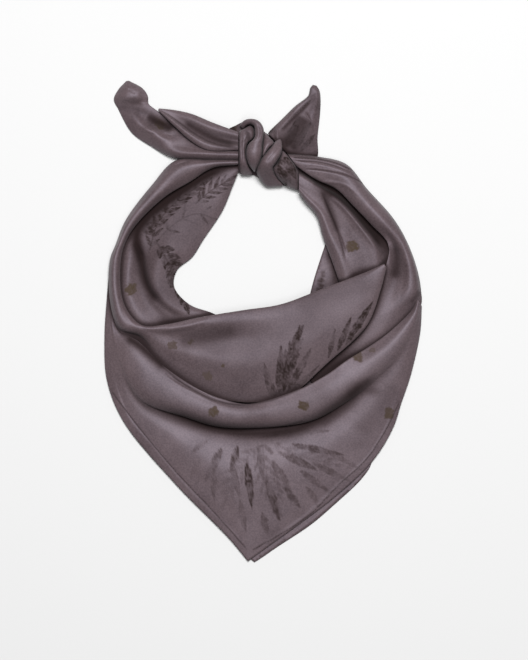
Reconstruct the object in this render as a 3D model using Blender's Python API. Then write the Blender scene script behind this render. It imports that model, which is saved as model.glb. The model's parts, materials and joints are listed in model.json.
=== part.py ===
"""A tied silk neckerchief, lying as it was taken off: a square folded on the diagonal and knotted.

Every size is in metres. X runs across the scarf, Y runs from its point up to the knot, and the
scarf rests on the plane Z = 0. Each length of cloth is a table of sections. A section is a line
laid across the cloth between guide points. Guide points are shares of WIDTH and LENGTH from the
middle of the outline, and lifts are shares of FOLD_HEIGHT above the layer the cloth rests on.
"""
from collections import namedtuple

import bmesh
import bpy
from mathutils import Vector

WIDTH = 0.238
LENGTH = 0.3605
FOLD_HEIGHT = 0.026
CLOTH = 0.001
GAP = 0.0003

SILK_COLOUR = (0.205, 0.158, 0.178, 1.0)
SILK_ROUGHNESS = 0.45

# Columns that a row sets off from a guide point by its own turn
NEAR_TURN = "near turn"
FAR_TURN = "far turn"
UNDER_TURN = "under turn"

Column = namedtuple("Column", "name at")
Sheet = namedtuple("Sheet", "name layer guides columns rows")
Wrap = namedtuple("Wrap", "name rows")
Row = namedtuple("Row", "name guides lifts near far under corner")
Rim = namedtuple("Rim", "x y corner")


def row(name, guides, lifts, near=0.0, far=0.0, under=0.0, corner=False):
    """One section of a table; a turn below zero folds the cloth back beneath itself."""
    return Row(name, guides, lifts, near, far, under, corner)


def rim(x, y, corner=False):
    """One point of an outline, as shares of the width and length."""
    return Rim(x, y, corner)


COLLAR_ROLL = Sheet(
    name="collar_roll",
    layer=1,
    guides=("inner_lip", "outer_lip"),
    columns=(
        Column("near_turn", NEAR_TURN),
        Column("lip", 0),
        Column("brow", 0.1),
        Column("dip", 0.32),
        Column("bulge", 0.6),
        Column("slope", 0.84),
        Column("foot", 1),
        Column("far_turn", FAR_TURN),
    ),
    rows=(
        row("knot", ((-0.0767, 0.3251), (-0.0767, 0.333)),
            (0.231, 0.277, 0.354, 0.404, 0.404, 0.365, 0.315, 0.262), near=-0.0025, far=-0.0025),
        row("nape", ((-0.1568, 0.3184), (-0.171, 0.3342)),
            (0.177, 0.238, 0.335, 0.4, 0.4, 0.338, 0.254, 0.185), near=-0.005, far=-0.0057),
        row("shoulder", ((-0.2293, 0.2897), (-0.2746, 0.3326)),
            (0.115, 0.181, 0.296, 0.423, 0.446, 0.335, 0.142, 0.077), near=-0.0069, far=-0.0095),
        row("upper", ((-0.308, 0.2585), (-0.3481, 0.2822)),
            (0.1, 0.162, 0.277, 0.408, 0.408, 0.277, 0.108, 0.046), near=-0.0069, far=-0.0095),
        row("side", ((-0.3985, 0.2007), (-0.4303, 0.2096)),
            (0.1, 0.162, 0.269, 0.377, 0.377, 0.238, 0.108, 0.046), near=-0.0069, far=-0.0082),
        row("side_2", ((-0.4322, 0.1638), (-0.4593, 0.1628)),
            (0.115, 0.177, 0.273, 0.373, 0.377, 0.254, 0.131, 0.069), near=-0.0069, far=-0.0076),
        row("flank", ((-0.4467, 0.1264), (-0.4795, 0.1264)),
            (0.131, 0.192, 0.277, 0.369, 0.377, 0.285, 0.169, 0.108), near=-0.0069, far=-0.0069),
        row("low", ((-0.4423, 0.0484), (-0.4795, 0.0432)),
            (0.154, 0.215, 0.3, 0.392, 0.396, 0.308, 0.192, 0.131), near=-0.0069, far=-0.0069),
        row("curl", ((-0.4234, 0.0047), (-0.4514, -0.0155)),
            (0.185, 0.246, 0.338, 0.415, 0.415, 0.331, 0.231, 0.185), near=-0.0069, far=-0.005),
        row("turn", ((-0.3805, -0.0174), (-0.3843, -0.0319)),
            (0.238, 0.3, 0.377, 0.408, 0.362, 0.262, 0.154, 0.085), near=-0.0063, far=0.0139),
        row("front_1", ((-0.3049, -0.012), (-0.3285, -0.0733)),
            (0.277, 0.346, 0.431, 0.308, 0.315, 0.2, 0.077, 0.062), near=-0.0076, far=0.0145),
        row("front_2", ((-0.1977, 0.0076), (-0.2308, -0.1222)),
            (0.3, 0.377, 0.469, 0.335, 0.431, 0.262, 0.1, 0.092), near=-0.0082, far=0.0145),
        row("front_3", ((-0.0622, 0.0222), (-0.0859, -0.1572)),
            (0.315, 0.392, 0.485, 0.438, 0.508, 0.3, 0.1, 0.092), near=-0.0082, far=0.0145),
        row("front_4", ((0.0575, 0.0346), (0.0827, -0.1462)),
            (0.331, 0.412, 0.5, 0.515, 0.523, 0.315, 0.115, 0.1), near=-0.0082, far=0.0113),
        row("front_5", ((0.1867, 0.0665), (0.2182, -0.0775)),
            (0.35, 0.431, 0.508, 0.531, 0.515, 0.408, 0.246, 0.169), near=-0.0082, far=-0.0076),
        row("front_6", ((0.2781, 0.0894), (0.3263, -0.0082)),
            (0.362, 0.438, 0.508, 0.531, 0.515, 0.454, 0.354, 0.269), near=-0.0082, far=-0.0082),
        row("front_7", ((0.3395, 0.1056), (0.3679, 0.0629)),
            (0.369, 0.438, 0.5, 0.515, 0.504, 0.469, 0.408, 0.338), near=-0.0076, far=-0.0076),
        row("corner", ((0.3808, 0.1183), (0.3871, 0.1116)),
            (0.4, 0.438, 0.458, 0.465, 0.462, 0.45, 0.423, 0.392), near=-0.0032, far=-0.0032),
    ),
)

FRONT_LEAF = Sheet(
    name="front_leaf",
    layer=1,
    guides=("lip", "nose", "edge"),
    columns=(
        Column("lip", 0),
        Column("crest", 0.4),
        Column("brow", 0.78),
        Column("nose", 1),
        Column("under", UNDER_TURN),
        Column("valley", 1.13),
        Column("swell", 1.38),
        Column("apron", 1.74),
        Column("edge", 2),
    ),
    rows=(
        row("left_end", ((-0.4706, 0.1233), (-0.4744, 0.1233), (-0.481, 0.1243)),
            (0.015, 0.023, 0.023, 0.019, 0.017, 0.015, 0.012, 0.008, 0), under=0.0004),
        row("left_1", ((-0.4703, 0.0484), (-0.4766, 0.0484), (-0.4902, 0.0505)),
            (0.031, 0.054, 0.058, 0.054, 0.05, 0.046, 0.035, 0.019, 0), under=0.0008),
        row("left_2", ((-0.4492, -0.0165), (-0.4703, -0.0244), (-0.4977, -0.0328)),
            (0.038, 0.119, 0.127, 0.123, 0.115, 0.104, 0.081, 0.042, 0), under=0.0019),
        row("left_3", ((-0.3874, -0.0432), (-0.4404, -0.0952), (-0.4902, -0.1222)),
            (0.169, 0.373, 0.331, 0.262, 0.238, 0.215, 0.154, 0.069, 0), under=0.0032),
        row("left_4", ((-0.3055, -0.0956), (-0.3774, -0.1638), (-0.4385, -0.2075)),
            (0.192, 0.485, 0.423, 0.262, 0.208, 0.146, 0.123, 0.062, 0), under=0.0032),
        row("left_5", ((-0.2009, -0.141), (-0.2387, -0.1992), (-0.2765, -0.3365)),
            (0.223, 0.546, 0.469, 0.238, 0.154, 0.104, 0.177, 0.092, 0), under=-0.0038),
        row("left_6", ((-0.1284, -0.1607), (-0.1505, -0.2169), (-0.1064, -0.4509)),
            (0.238, 0.569, 0.485, 0.238, 0.138, 0.1, 0.2, 0.092, 0), under=-0.0069),
        row("point", ((-0.0433, -0.1711), (-0.0481, -0.221), (-0.0465, -0.4988)),
            (0.246, 0.577, 0.492, 0.238, 0.131, 0.1, 0.2, 0.092, 0), under=-0.0088, corner=True),
        row("right_5", ((0.1205, -0.1389), (0.1505, -0.2065), (0.2371, -0.3594)),
            (0.238, 0.546, 0.469, 0.246, 0.162, 0.115, 0.185, 0.1, 0), under=-0.0032),
        row("right_4b", ((0.2056, -0.1087), (0.2466, -0.1732), (0.3493, -0.2874)),
            (0.223, 0.5, 0.438, 0.254, 0.192, 0.146, 0.181, 0.096, 0), under=0.0013),
        row("right_4", ((0.2623, -0.0817), (0.3159, -0.1399), (0.4105, -0.221)),
            (0.208, 0.446, 0.4, 0.262, 0.223, 0.192, 0.177, 0.092, 0), under=0.0044),
        row("right_3b", ((0.3285, -0.0552), (0.3742, -0.1056), (0.4372, -0.168)),
            (0.2, 0.408, 0.373, 0.269, 0.238, 0.208, 0.177, 0.088, 0), under=0.0041),
        row("right_3", ((0.3884, -0.0276), (0.4246, -0.0723), (0.464, -0.116)),
            (0.192, 0.373, 0.346, 0.269, 0.246, 0.223, 0.177, 0.085, 0), under=0.0038),
        row("right_2", ((0.4688, 0.0224), (0.482, 0.0026), (0.4949, -0.0244)),
            (0.146, 0.238, 0.231, 0.2, 0.188, 0.169, 0.131, 0.069, 0), under=0.0022),
        row("right_end", ((0.4877, 0.0442), (0.4924, 0.039), (0.4999, 0.0317)),
            (0.154, 0.165, 0.162, 0.154, 0.146, 0.138, 0.123, 0.108, 0.085), under=0.0006),
    ),
)

RIGHT_OUTER_BAND = Sheet(
    name="right_outer_band",
    layer=1,
    guides=("inner_lip", "outer_edge"),
    columns=(
        Column("near_turn", NEAR_TURN),
        Column("lip", 0),
        Column("shoulder", 0.25),
        Column("crest", 0.5),
        Column("flank", 0.72),
        Column("side", 0.9),
        Column("edge", 1),
    ),
    rows=(
        row("knot", ((0.1038, 0.3226), (0.077, 0.3469)),
            (0.285, 0.335, 0.4, 0.415, 0.392, 0.315, 0.219), near=-0.0032),
        row("nape", ((0.1662, 0.2949), (0.1703, 0.3417)),
            (0.208, 0.277, 0.354, 0.392, 0.373, 0.258, 0.085), near=-0.0069),
        row("top", ((0.2324, 0.2741), (0.2623, 0.3255)),
            (0.192, 0.254, 0.373, 0.431, 0.392, 0.238, 0.046), near=-0.0076),
        row("bend", ((0.2844, 0.2398), (0.3285, 0.2739)),
            (0.192, 0.254, 0.412, 0.462, 0.392, 0.219, 0.031), near=-0.0076),
        row("upper", ((0.3459, 0.1975), (0.4086, 0.2148)),
            (0.192, 0.246, 0.412, 0.469, 0.392, 0.219, 0.023), near=-0.0076),
        row("side_1", ((0.3931, 0.1618), (0.4527, 0.1659)),
            (0.185, 0.208, 0.285, 0.365, 0.338, 0.208, 0.023), near=-0.0038),
        row("side_2", ((0.3947, 0.1066), (0.4848, 0.1087)),
            (0.185, 0.185, 0.154, 0.238, 0.346, 0.231, 0.023), near=0.0113),
        row("side_3", ((0.3632, 0.038), (0.4974, 0.064)),
            (0.169, 0.192, 0.231, 0.269, 0.3, 0.2, 0.023), near=0.0145),
        row("low_1", ((0.3159, -0.0078), (0.4968, 0.0317)),
            (0.138, 0.169, 0.192, 0.177, 0.123, 0.046, 0.004), near=0.0145),
        row("low_2", ((0.2592, -0.0484), (0.4199, -0.0244)),
            (0.085, 0.108, 0.146, 0.154, 0.115, 0.054, 0.004), near=0.0145),
        row("low_3", ((0.1962, -0.0879), (0.2592, -0.0931)),
            (0.038, 0.054, 0.069, 0.073, 0.058, 0.031, 0.004), near=0.0095),
        row("tail", ((0.1426, -0.1201), (0.1615, -0.1305)),
            (0.015, 0.023, 0.031, 0.035, 0.031, 0.019, 0.004), near=0.0032),
    ),
)

RIGHT_INNER_BAND = Sheet(
    name="right_inner_band",
    layer=1,
    guides=("left_edge", "right_edge"),
    columns=(
        Column("near_turn", NEAR_TURN),
        Column("left", 0),
        Column("ridge_a", 0.14),
        Column("groove_a", 0.3),
        Column("ridge_b", 0.45),
        Column("groove_b", 0.62),
        Column("ridge_c", 0.82),
        Column("right", 1),
        Column("far_turn", FAR_TURN),
    ),
    rows=(
        row("knot", ((0.1133, 0.2676), (0.1133, 0.3122)),
            (0.169, 0.238, 0.392, 0.385, 0.404, 0.377, 0.323, 0.208, 0.185), near=-0.005, far=0.0063),
        row("nape", ((0.1294, 0.2518), (0.1741, 0.2876)),
            (0.108, 0.181, 0.392, 0.354, 0.404, 0.377, 0.331, 0.162, 0.138), near=-0.0082, far=0.0082),
        row("upper", ((0.1697, 0.2194), (0.2545, 0.2577)),
            (0.062, 0.123, 0.377, 0.285, 0.369, 0.315, 0.331, 0.146, 0.123), near=-0.0082, far=0.0095),
        row("mid", ((0.1905, 0.1742), (0.3254, 0.2081)),
            (0.046, 0.1, 0.354, 0.208, 0.331, 0.277, 0.323, 0.146, 0.123), near=-0.0082, far=0.0095),
        row("low", ((0.2166, 0.1285), (0.3783, 0.169)),
            (0.038, 0.085, 0.323, 0.177, 0.315, 0.269, 0.292, 0.131, 0.115), near=-0.0082, far=0.0095),
        row("mouth", ((0.2397, 0.0848), (0.3928, 0.1264)),
            (0.031, 0.077, 0.285, 0.169, 0.277, 0.238, 0.238, 0.123, 0.115), near=-0.0082, far=0.0076),
        row("end", ((0.2529, 0.0525), (0.3758, 0.0837)),
            (0.023, 0.054, 0.169, 0.115, 0.169, 0.154, 0.146, 0.115, 0.108), near=-0.0069, far=0.005),
    ),
)

LEFT_INNER_BAND = Sheet(
    name="left_inner_band",
    layer=0,
    guides=("inner_edge", "outer_edge"),
    columns=(
        Column("inner", 0),
        Column("slope", 0.15),
        Column("ridge_b", 0.35),
        Column("groove", 0.6),
        Column("ridge_a", 0.86),
        Column("outer", 1),
        Column("far_turn", FAR_TURN),
    ),
    rows=(
        row("knot", ((-0.0774, 0.3097), (-0.077, 0.3222)),
            (0.158, 0.212, 0.246, 0.25, 0.238, 0.227, 0.223), far=0.0063),
        row("nape", ((-0.0963, 0.2783), (-0.1757, 0.3134)),
            (0.112, 0.219, 0.25, 0.219, 0.181, 0.165, 0.165), far=0.0082),
        row("upper", ((-0.1265, 0.2304), (-0.286, 0.2689)),
            (0.081, 0.204, 0.258, 0.204, 0.112, 0.065, 0.058), far=0.0113),
        row("mid", ((-0.1877, 0.169), (-0.3742, 0.219)),
            (0.065, 0.188, 0.258, 0.119, 0.088, 0.058, 0.042), far=0.0113),
        row("bend", ((-0.2211, 0.1345), (-0.412, 0.1878)),
            (0.062, 0.188, 0.258, 0.081, 0.142, 0.069, 0.046), far=0.0095),
        row("pit", ((-0.2702, 0.1062), (-0.4341, 0.1586)),
            (0.058, 0.181, 0.242, 0.058, 0.196, 0.081, 0.05), far=0.0082),
        row("side", ((-0.279, 0.0713), (-0.4483, 0.0796)),
            (0.065, 0.188, 0.258, 0.065, 0.25, 0.081, 0.05), far=0.0076),
        row("low", ((-0.2311, 0.0346), (-0.4388, 0.0338)),
            (0.065, 0.181, 0.258, 0.081, 0.258, 0.088, 0.058), far=0.0076),
        row("mouth", ((-0.1568, 0.0163), (-0.4183, -0.0016)),
            (0.058, 0.15, 0.181, 0.096, 0.212, 0.088, 0.065), far=0.0076),
        row("end", ((-0.1032, -0.0016), (-0.3868, -0.0328)),
            (0.042, 0.104, 0.127, 0.058, 0.112, 0.05, 0.042), far=0.005),
    ),
)

LEFT_TAIL = Sheet(
    name="left_tail",
    layer=0,
    guides=("lower_edge", "upper_edge"),
    columns=(
        Column("near_turn", NEAR_TURN),
        Column("lower", 0),
        Column("roll", 0.15),
        Column("groove", 0.35),
        Column("ridge", 0.55),
        Column("back", 0.8),
        Column("upper", 1),
    ),
    rows=(
        row("knot", ((-0.0767, 0.3396), (-0.0767, 0.375)),
            (0.188, 0.342, 0.465, 0.388, 0.281, 0.227, 0.196), near=0.0145),
        row("nape", ((-0.182, 0.3417), (-0.1883, 0.3792)),
            (0.127, 0.25, 0.412, 0.335, 0.258, 0.173, 0.096), near=0.0145),
        row("elbow", ((-0.2784, 0.34), (-0.2387, 0.4104)),
            (0.027, 0.081, 0.304, 0.265, 0.219, 0.112, 0.05), near=-0.0025),
        row("belly", ((-0.349, 0.3633), (-0.2986, 0.4249)),
            (0.015, 0.038, 0.192, 0.288, 0.192, 0.112, 0.042), near=-0.0038),
        row("calf", ((-0.412, 0.3925), (-0.3427, 0.4424)),
            (0.008, 0.019, 0.119, 0.212, 0.135, 0.119, 0.05), near=-0.0025),
        row("wrist", ((-0.4546, 0.4416), (-0.3597, 0.4524)),
            (0.008, 0.015, 0.096, 0.173, 0.173, 0.158, 0.065), near=-0.0025),
        row("palm", ((-0.4681, 0.4615), (-0.3622, 0.4678)),
            (0.008, 0.012, 0.135, 0.25, 0.273, 0.231, 0.088), near=-0.0025),
        row("finger", ((-0.4546, 0.4811), (-0.3789, 0.4836)),
            (0.008, 0.012, 0.119, 0.212, 0.227, 0.188, 0.081), near=-0.0025),
        row("tip", ((-0.429, 0.4992), (-0.4215, 0.4996)),
            (0.006, 0.008, 0.015, 0.019, 0.019, 0.015, 0.008), near=-0.0006),
    ),
)

LEFT_TAIL_FLAP = Sheet(
    name="left_tail_flap",
    layer=0,
    guides=("lower_lip", "upper_edge"),
    columns=(
        Column("near_turn", NEAR_TURN),
        Column("lip", 0),
        Column("roll", 0.18),
        Column("trough", 0.5),
        Column("back", 0.8),
        Column("top", 1),
    ),
    rows=(
        row("knot", ((-0.0767, 0.3546), (-0.0767, 0.3916)),
            (0.45, 0.504, 0.55, 0.404, 0.458, 0.342), near=-0.005),
        row("nape", ((-0.1725, 0.355), (-0.1599, 0.4124)),
            (0.377, 0.435, 0.504, 0.327, 0.358, 0.154), near=-0.0057),
        row("mid", ((-0.2293, 0.376), (-0.223, 0.4299)),
            (0.312, 0.362, 0.435, 0.281, 0.262, 0.073), near=-0.0057),
        row("end_1", ((-0.2844, 0.4095), (-0.2765, 0.4382)),
            (0.227, 0.265, 0.312, 0.212, 0.165, 0.073), near=-0.0044),
        row("end_2", ((-0.3288, 0.4387), (-0.3257, 0.4416)),
            (0.135, 0.142, 0.15, 0.146, 0.138, 0.131), near=-0.0006),
    ),
)

RIGHT_TAIL = Sheet(
    name="right_tail",
    layer=0,
    guides=("left_edge", "right_edge"),
    columns=(
        Column("left", 0),
        Column("hem", 0.12),
        Column("middle", 0.45),
        Column("fold", 0.75),
        Column("right", 1),
    ),
    rows=(
        row("knot", ((0.0165, 0.3896), (0.0884, 0.3409)),
            (0.288, 0.346, 0.327, 0.25, 0.158)),
        row("root", ((0.0241, 0.3962), (0.1678, 0.3376)),
            (0.096, 0.269, 0.181, 0.15, 0.027)),
        row("mid_1", ((0.0575, 0.4176), (0.1722, 0.3833)),
            (0.058, 0.181, 0.154, 0.173, 0.019)),
        row("mid_2", ((0.1016, 0.4462), (0.1795, 0.4291)),
            (0.042, 0.158, 0.135, 0.165, 0.015)),
        row("mid_3", ((0.1442, 0.4692), (0.1814, 0.4603)),
            (0.035, 0.119, 0.119, 0.127, 0.015)),
        row("tip_1", ((0.1505, 0.4848), (0.1782, 0.479)),
            (0.027, 0.081, 0.096, 0.081, 0.015)),
        row("tip", ((0.1584, 0.4911), (0.1694, 0.4894)),
            (0.012, 0.019, 0.023, 0.019, 0.012)),
    ),
)

# A knot wrap is round: its foot stands in under its sides
WRAP_COLUMNS = (
    Column("left_foot", 0.08),
    Column("left_side", 0),
    Column("left_shoulder", 0.14),
    Column("crest", 0.5),
    Column("right_shoulder", 0.86),
    Column("right_side", 1),
    Column("right_foot", 0.92),
)

KNOT_LEFT_ROLL = Wrap(
    name="knot_left_roll",
    rows=(
        row("top", ((-0.0603, 0.3971), (-0.0377, 0.405)), (0.142, 0.338, 0.435, 0.462, 0.435, 0.338, 0.142)),
        row("r1", ((-0.0717, 0.3929), (-0.0288, 0.3971)), (0.142, 0.423, 0.562, 0.596, 0.562, 0.423, 0.142)),
        row("r2", ((-0.0733, 0.3802), (-0.0288, 0.3812)), (0.142, 0.488, 0.65, 0.654, 0.612, 0.458, 0.142)),
        row("r3", ((-0.0733, 0.3667), (-0.0484, 0.3675)), (0.142, 0.485, 0.65, 0.692, 0.65, 0.485, 0.142)),
        row("r4", ((-0.0733, 0.348), (-0.0547, 0.348)), (0.142, 0.485, 0.65, 0.692, 0.65, 0.485, 0.142)),
        row("r5", ((-0.0723, 0.3251), (-0.0484, 0.3238)), (0.142, 0.423, 0.562, 0.596, 0.562, 0.423, 0.142)),
        row("foot", ((-0.0673, 0.3055), (-0.0345, 0.3055)), (0.142, 0.219, 0.258, 0.269, 0.258, 0.219, 0.142)),
    ),
)

KNOT_LOOP = Wrap(
    name="knot_loop",
    rows=(
        row("start", ((-0.0616, 0.3995), (-0.0704, 0.407)), (0.142, 0.246, 0.296, 0.308, 0.296, 0.246, 0.142)),
        row("r0", ((-0.0522, 0.4058), (-0.0559, 0.4162)), (0.142, 0.365, 0.473, 0.5, 0.473, 0.365, 0.142)),
        row("r1", ((-0.0377, 0.4083), (-0.0351, 0.4183)), (0.142, 0.458, 0.612, 0.654, 0.612, 0.458, 0.142)),
        row("r2", ((-0.0263, 0.4029), (-0.0124, 0.4133)), (0.142, 0.519, 0.7, 0.75, 0.7, 0.519, 0.142)),
        row("r3", ((-0.0244, 0.3925), (0.0014, 0.3987)), (0.142, 0.554, 0.754, 0.808, 0.754, 0.554, 0.142)),
        row("r4", ((-0.0257, 0.3787), (0.0008, 0.3804)), (0.142, 0.592, 0.808, 0.865, 0.808, 0.592, 0.142)),
        row("r5", ((-0.0446, 0.3646), (-0.0017, 0.3646)), (0.142, 0.615, 0.842, 0.904, 0.842, 0.615, 0.142)),
        row("r6", ((-0.0515, 0.3459), (-0.003, 0.3467)), (0.142, 0.638, 0.877, 0.942, 0.877, 0.638, 0.142)),
        row("r7", ((-0.0452, 0.3271), (-0.0087, 0.3309)), (0.142, 0.577, 0.788, 0.846, 0.788, 0.577, 0.142)),
        row("foot", ((-0.0288, 0.3118), (-0.0225, 0.313)), (0.142, 0.388, 0.508, 0.538, 0.508, 0.388, 0.142)),
    ),
)

KNOT_BACK_FOLD = Wrap(
    name="knot_back_fold",
    rows=(
        row("top", ((0.0058, 0.3887), (0.0115, 0.3871)), (0.142, 0.338, 0.435, 0.462, 0.435, 0.338, 0.142)),
        row("r1", ((0.0036, 0.3792), (0.0241, 0.3779)), (0.142, 0.458, 0.612, 0.654, 0.612, 0.458, 0.142)),
        row("r2", ((0.002, 0.3688), (0.0342, 0.3688)), (0.142, 0.519, 0.7, 0.75, 0.7, 0.519, 0.142)),
        row("r3", ((0.0011, 0.3584), (0.0191, 0.3579)), (0.142, 0.542, 0.738, 0.788, 0.738, 0.542, 0.142)),
        row("foot", ((-0.0002, 0.3434), (0.003, 0.343)), (0.142, 0.519, 0.7, 0.75, 0.7, 0.519, 0.142)),
    ),
)

KNOT_FRONT_WRAP = Wrap(
    name="knot_front_wrap",
    rows=(
        row("top", ((0.0424, 0.3725), (0.0556, 0.3754)), (0.423, 0.496, 0.531, 0.538, 0.531, 0.496, 0.423)),
        row("r1", ((0.0304, 0.3621), (0.0594, 0.3584)), (0.423, 0.627, 0.723, 0.75, 0.723, 0.627, 0.423)),
        row("r2", ((0.0147, 0.3505), (0.0537, 0.3425)), (0.177, 0.604, 0.812, 0.865, 0.812, 0.604, 0.177)),
        row("r3", ((-0.0005, 0.338), (0.0418, 0.328)), (0.142, 0.604, 0.827, 0.885, 0.827, 0.604, 0.142)),
        row("r4", ((-0.0106, 0.3247), (0.031, 0.3172)), (0.142, 0.565, 0.773, 0.827, 0.773, 0.565, 0.142)),
        row("r5", ((-0.0181, 0.3097), (0.0361, 0.3047)), (0.142, 0.458, 0.612, 0.654, 0.612, 0.458, 0.142)),
        row("r6", ((-0.0074, 0.2951), (0.0487, 0.2926)), (0.142, 0.338, 0.435, 0.462, 0.435, 0.338, 0.142)),
        row("foot", ((0.0134, 0.2805), (0.0619, 0.2822)), (0.142, 0.208, 0.242, 0.25, 0.242, 0.208, 0.142)),
    ),
)

KNOT_PRINT_FOLD = Wrap(
    name="knot_print_fold",
    rows=(
        row("top", ((0.0626, 0.3513), (0.0676, 0.3492)), (0.142, 0.338, 0.435, 0.462, 0.435, 0.338, 0.142)),
        row("r1", ((0.0563, 0.3388), (0.084, 0.3367)), (0.142, 0.446, 0.596, 0.635, 0.596, 0.446, 0.142)),
        row("r2", ((0.0443, 0.3251), (0.0978, 0.3247)), (0.142, 0.485, 0.65, 0.692, 0.65, 0.485, 0.142)),
        row("r3", ((0.0336, 0.3155), (0.1054, 0.3138)), (0.142, 0.485, 0.65, 0.692, 0.65, 0.485, 0.142)),
        row("r4", ((0.0418, 0.3018), (0.1105, 0.298)), (0.142, 0.435, 0.577, 0.615, 0.577, 0.435, 0.142)),
        row("r5", ((0.0581, 0.2893), (0.1111, 0.2839)), (0.142, 0.315, 0.4, 0.423, 0.4, 0.315, 0.142)),
        row("foot", ((0.078, 0.2801), (0.1092, 0.2731)), (0.142, 0.196, 0.223, 0.231, 0.223, 0.196, 0.142)),
    ),
)

KNOT_CORE = Wrap(
    name="knot_core",
    rows=(
        row("left", ((-0.1032, 0.3896), (-0.1057, 0.4004)), (0.001, 0.019, 0.035, 0.038, 0.035, 0.019, 0.001)),
        row("x1", ((-0.0843, 0.3126), (-0.0856, 0.4062)), (0.001, 0.054, 0.108, 0.115, 0.108, 0.054, 0.001)),
        row("x2", ((-0.0559, 0.3063), (-0.0635, 0.4133)), (0.001, 0.054, 0.112, 0.123, 0.112, 0.054, 0.001)),
        row("x3", ((-0.0244, 0.3034), (-0.0276, 0.4154)), (0.001, 0.054, 0.112, 0.123, 0.112, 0.054, 0.001)),
        row("x4", ((0.0039, 0.2918), (0.0058, 0.3927)), (0.001, 0.054, 0.112, 0.123, 0.112, 0.054, 0.001)),
        row("x5", ((0.0449, 0.2843), (0.0465, 0.3762)), (0.001, 0.054, 0.112, 0.123, 0.112, 0.054, 0.001)),
        row("x6", ((0.0827, 0.2805), (0.0827, 0.3513)), (0.001, 0.054, 0.112, 0.123, 0.112, 0.054, 0.001)),
        row("x7", ((0.1111, 0.2731), (0.1079, 0.3334)), (0.001, 0.054, 0.112, 0.123, 0.112, 0.054, 0.001)),
        row("right", ((0.1268, 0.2668), (0.1268, 0.324)), (0.001, 0.054, 0.108, 0.115, 0.108, 0.054, 0.001)),
    ),
)

UNDER_LEAF_OUTLINE = (
    rim(-0.0263, -0.5013, corner=True),
    rim(-0.0496, -0.4884),
    rim(-0.0701, -0.4728),
    rim(-0.1725, -0.401),
    rim(-0.3553, -0.2616),
    rim(-0.453, -0.1763),
    rim(-0.4782, -0.1014),
    rim(-0.4751, -0.0598, corner=True),
    rim(-0.3238, -0.064),
    rim(-0.182, -0.0473),
    rim(-0.0559, -0.014, corner=True),
    rim(0.1174, 0.0317),
    rim(0.1489, 0.0567, corner=True),
    rim(0.1634, 0.0921),
    rim(0.1804, 0.1274),
    rim(0.1993, 0.1649, corner=True),
    rim(0.2308, 0.1482),
    rim(0.3128, 0.0858),
    rim(0.4073, 0.0525, corner=True),
    rim(0.4546, -0.0078),
    rim(0.4577, -0.064),
    rim(0.4294, -0.1326),
    rim(0.3884, -0.2158),
    rim(0.3459, -0.2866, corner=True),
    rim(0.338, -0.3032),
    rim(0.3065, -0.3313),
    rim(0.2308, -0.3781),
    rim(0.1536, -0.4218),
    rim(0.0402, -0.4717),
    rim(-0.0024, -0.4913),
)


def plan(share):
    """A guide point's place over the table, in metres."""
    return Vector((share[0] * WIDTH, share[1] * LENGTH, 0.0))


def smooth_line(points, steps, corners=()):
    """A centripetal Catmull-Rom line through the points, broken at the corners."""
    last = len(points) - 1
    line = []
    for index in range(last):
        start = points[index]
        end = points[index + 1]
        before = 2.0 * start - end
        if index > 0 and index not in corners:
            before = points[index - 1]
        after = 2.0 * end - start
        if index + 1 < last and index + 1 not in corners:
            after = points[index + 2]
        knots = [0.0]
        for a, b in ((before, start), (start, end), (end, after)):
            knots.append(knots[-1] + max((b - a).length, 1e-7) ** 0.5)
        for step in range(steps):
            t = knots[1] + (knots[2] - knots[1]) * step / steps
            a1 = blend(before, start, knots[0], knots[1], t)
            a2 = blend(start, end, knots[1], knots[2], t)
            a3 = blend(end, after, knots[2], knots[3], t)
            b1 = blend(a1, a2, knots[0], knots[2], t)
            b2 = blend(a2, a3, knots[1], knots[3], t)
            line.append(blend(b1, b2, knots[1], knots[2], t))
    line.append(points[last].copy())
    return line


def blend(first, second, start, end, t):
    """The straight blend of two points over the span from start to end."""
    share = (t - start) / (end - start)
    return first * (1.0 - share) + second * share


def across(guides, at):
    """The point at this place along the chain of guide points."""
    index = min(int(at), len(guides) - 2)
    return guides[index].lerp(guides[index + 1], at - index)


def section(sheet, line):
    """The points of one section of a sheet, from its near guide to its far one."""
    guides = [plan(share) for share in line.guides]
    rest = sheet.layer * (CLOTH + GAP) + CLOTH / 2.0
    points = []
    for column, lift in zip(sheet.columns, line.lifts):
        if column.at == NEAR_TURN:
            onward = (guides[0] - guides[1]).normalized()
            point = guides[0] + onward * line.near * WIDTH
        elif column.at == FAR_TURN:
            onward = (guides[-1] - guides[-2]).normalized()
            point = guides[-1] + onward * line.far * WIDTH
        elif column.at == UNDER_TURN:
            onward = (guides[2] - guides[1]).normalized()
            point = guides[1] + onward * line.under * WIDTH
        else:
            point = across(guides, column.at)
        point.z = rest + lift * FOLD_HEIGHT
        points.append(point)
    return points


def surface(sheet, along_steps, across_steps):
    """The smooth grid of points through all the sections of a sheet."""
    sections = [section(sheet, line) for line in sheet.rows]
    corners = [index for index, line in enumerate(sheet.rows) if line.corner]
    rails = []
    for column in range(len(sheet.columns)):
        rail = [points[column] for points in sections]
        at_edge = column == len(sheet.columns) - 1
        rails.append(smooth_line(rail, along_steps, corners if at_edge else ()))
    return [smooth_line(list(points), across_steps) for points in zip(*rails)]


def silk(name):
    """The piece's own material: a soft, low-lustre silk."""
    material = bpy.data.materials.new(name + " silk")
    material.use_nodes = True
    shader = material.node_tree.nodes["Principled BSDF"]
    shader.inputs["Base Color"].default_value = SILK_COLOUR
    shader.inputs["Roughness"].default_value = SILK_ROUGHNESS
    shader.inputs["Metallic"].default_value = 0.0
    return material


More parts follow.
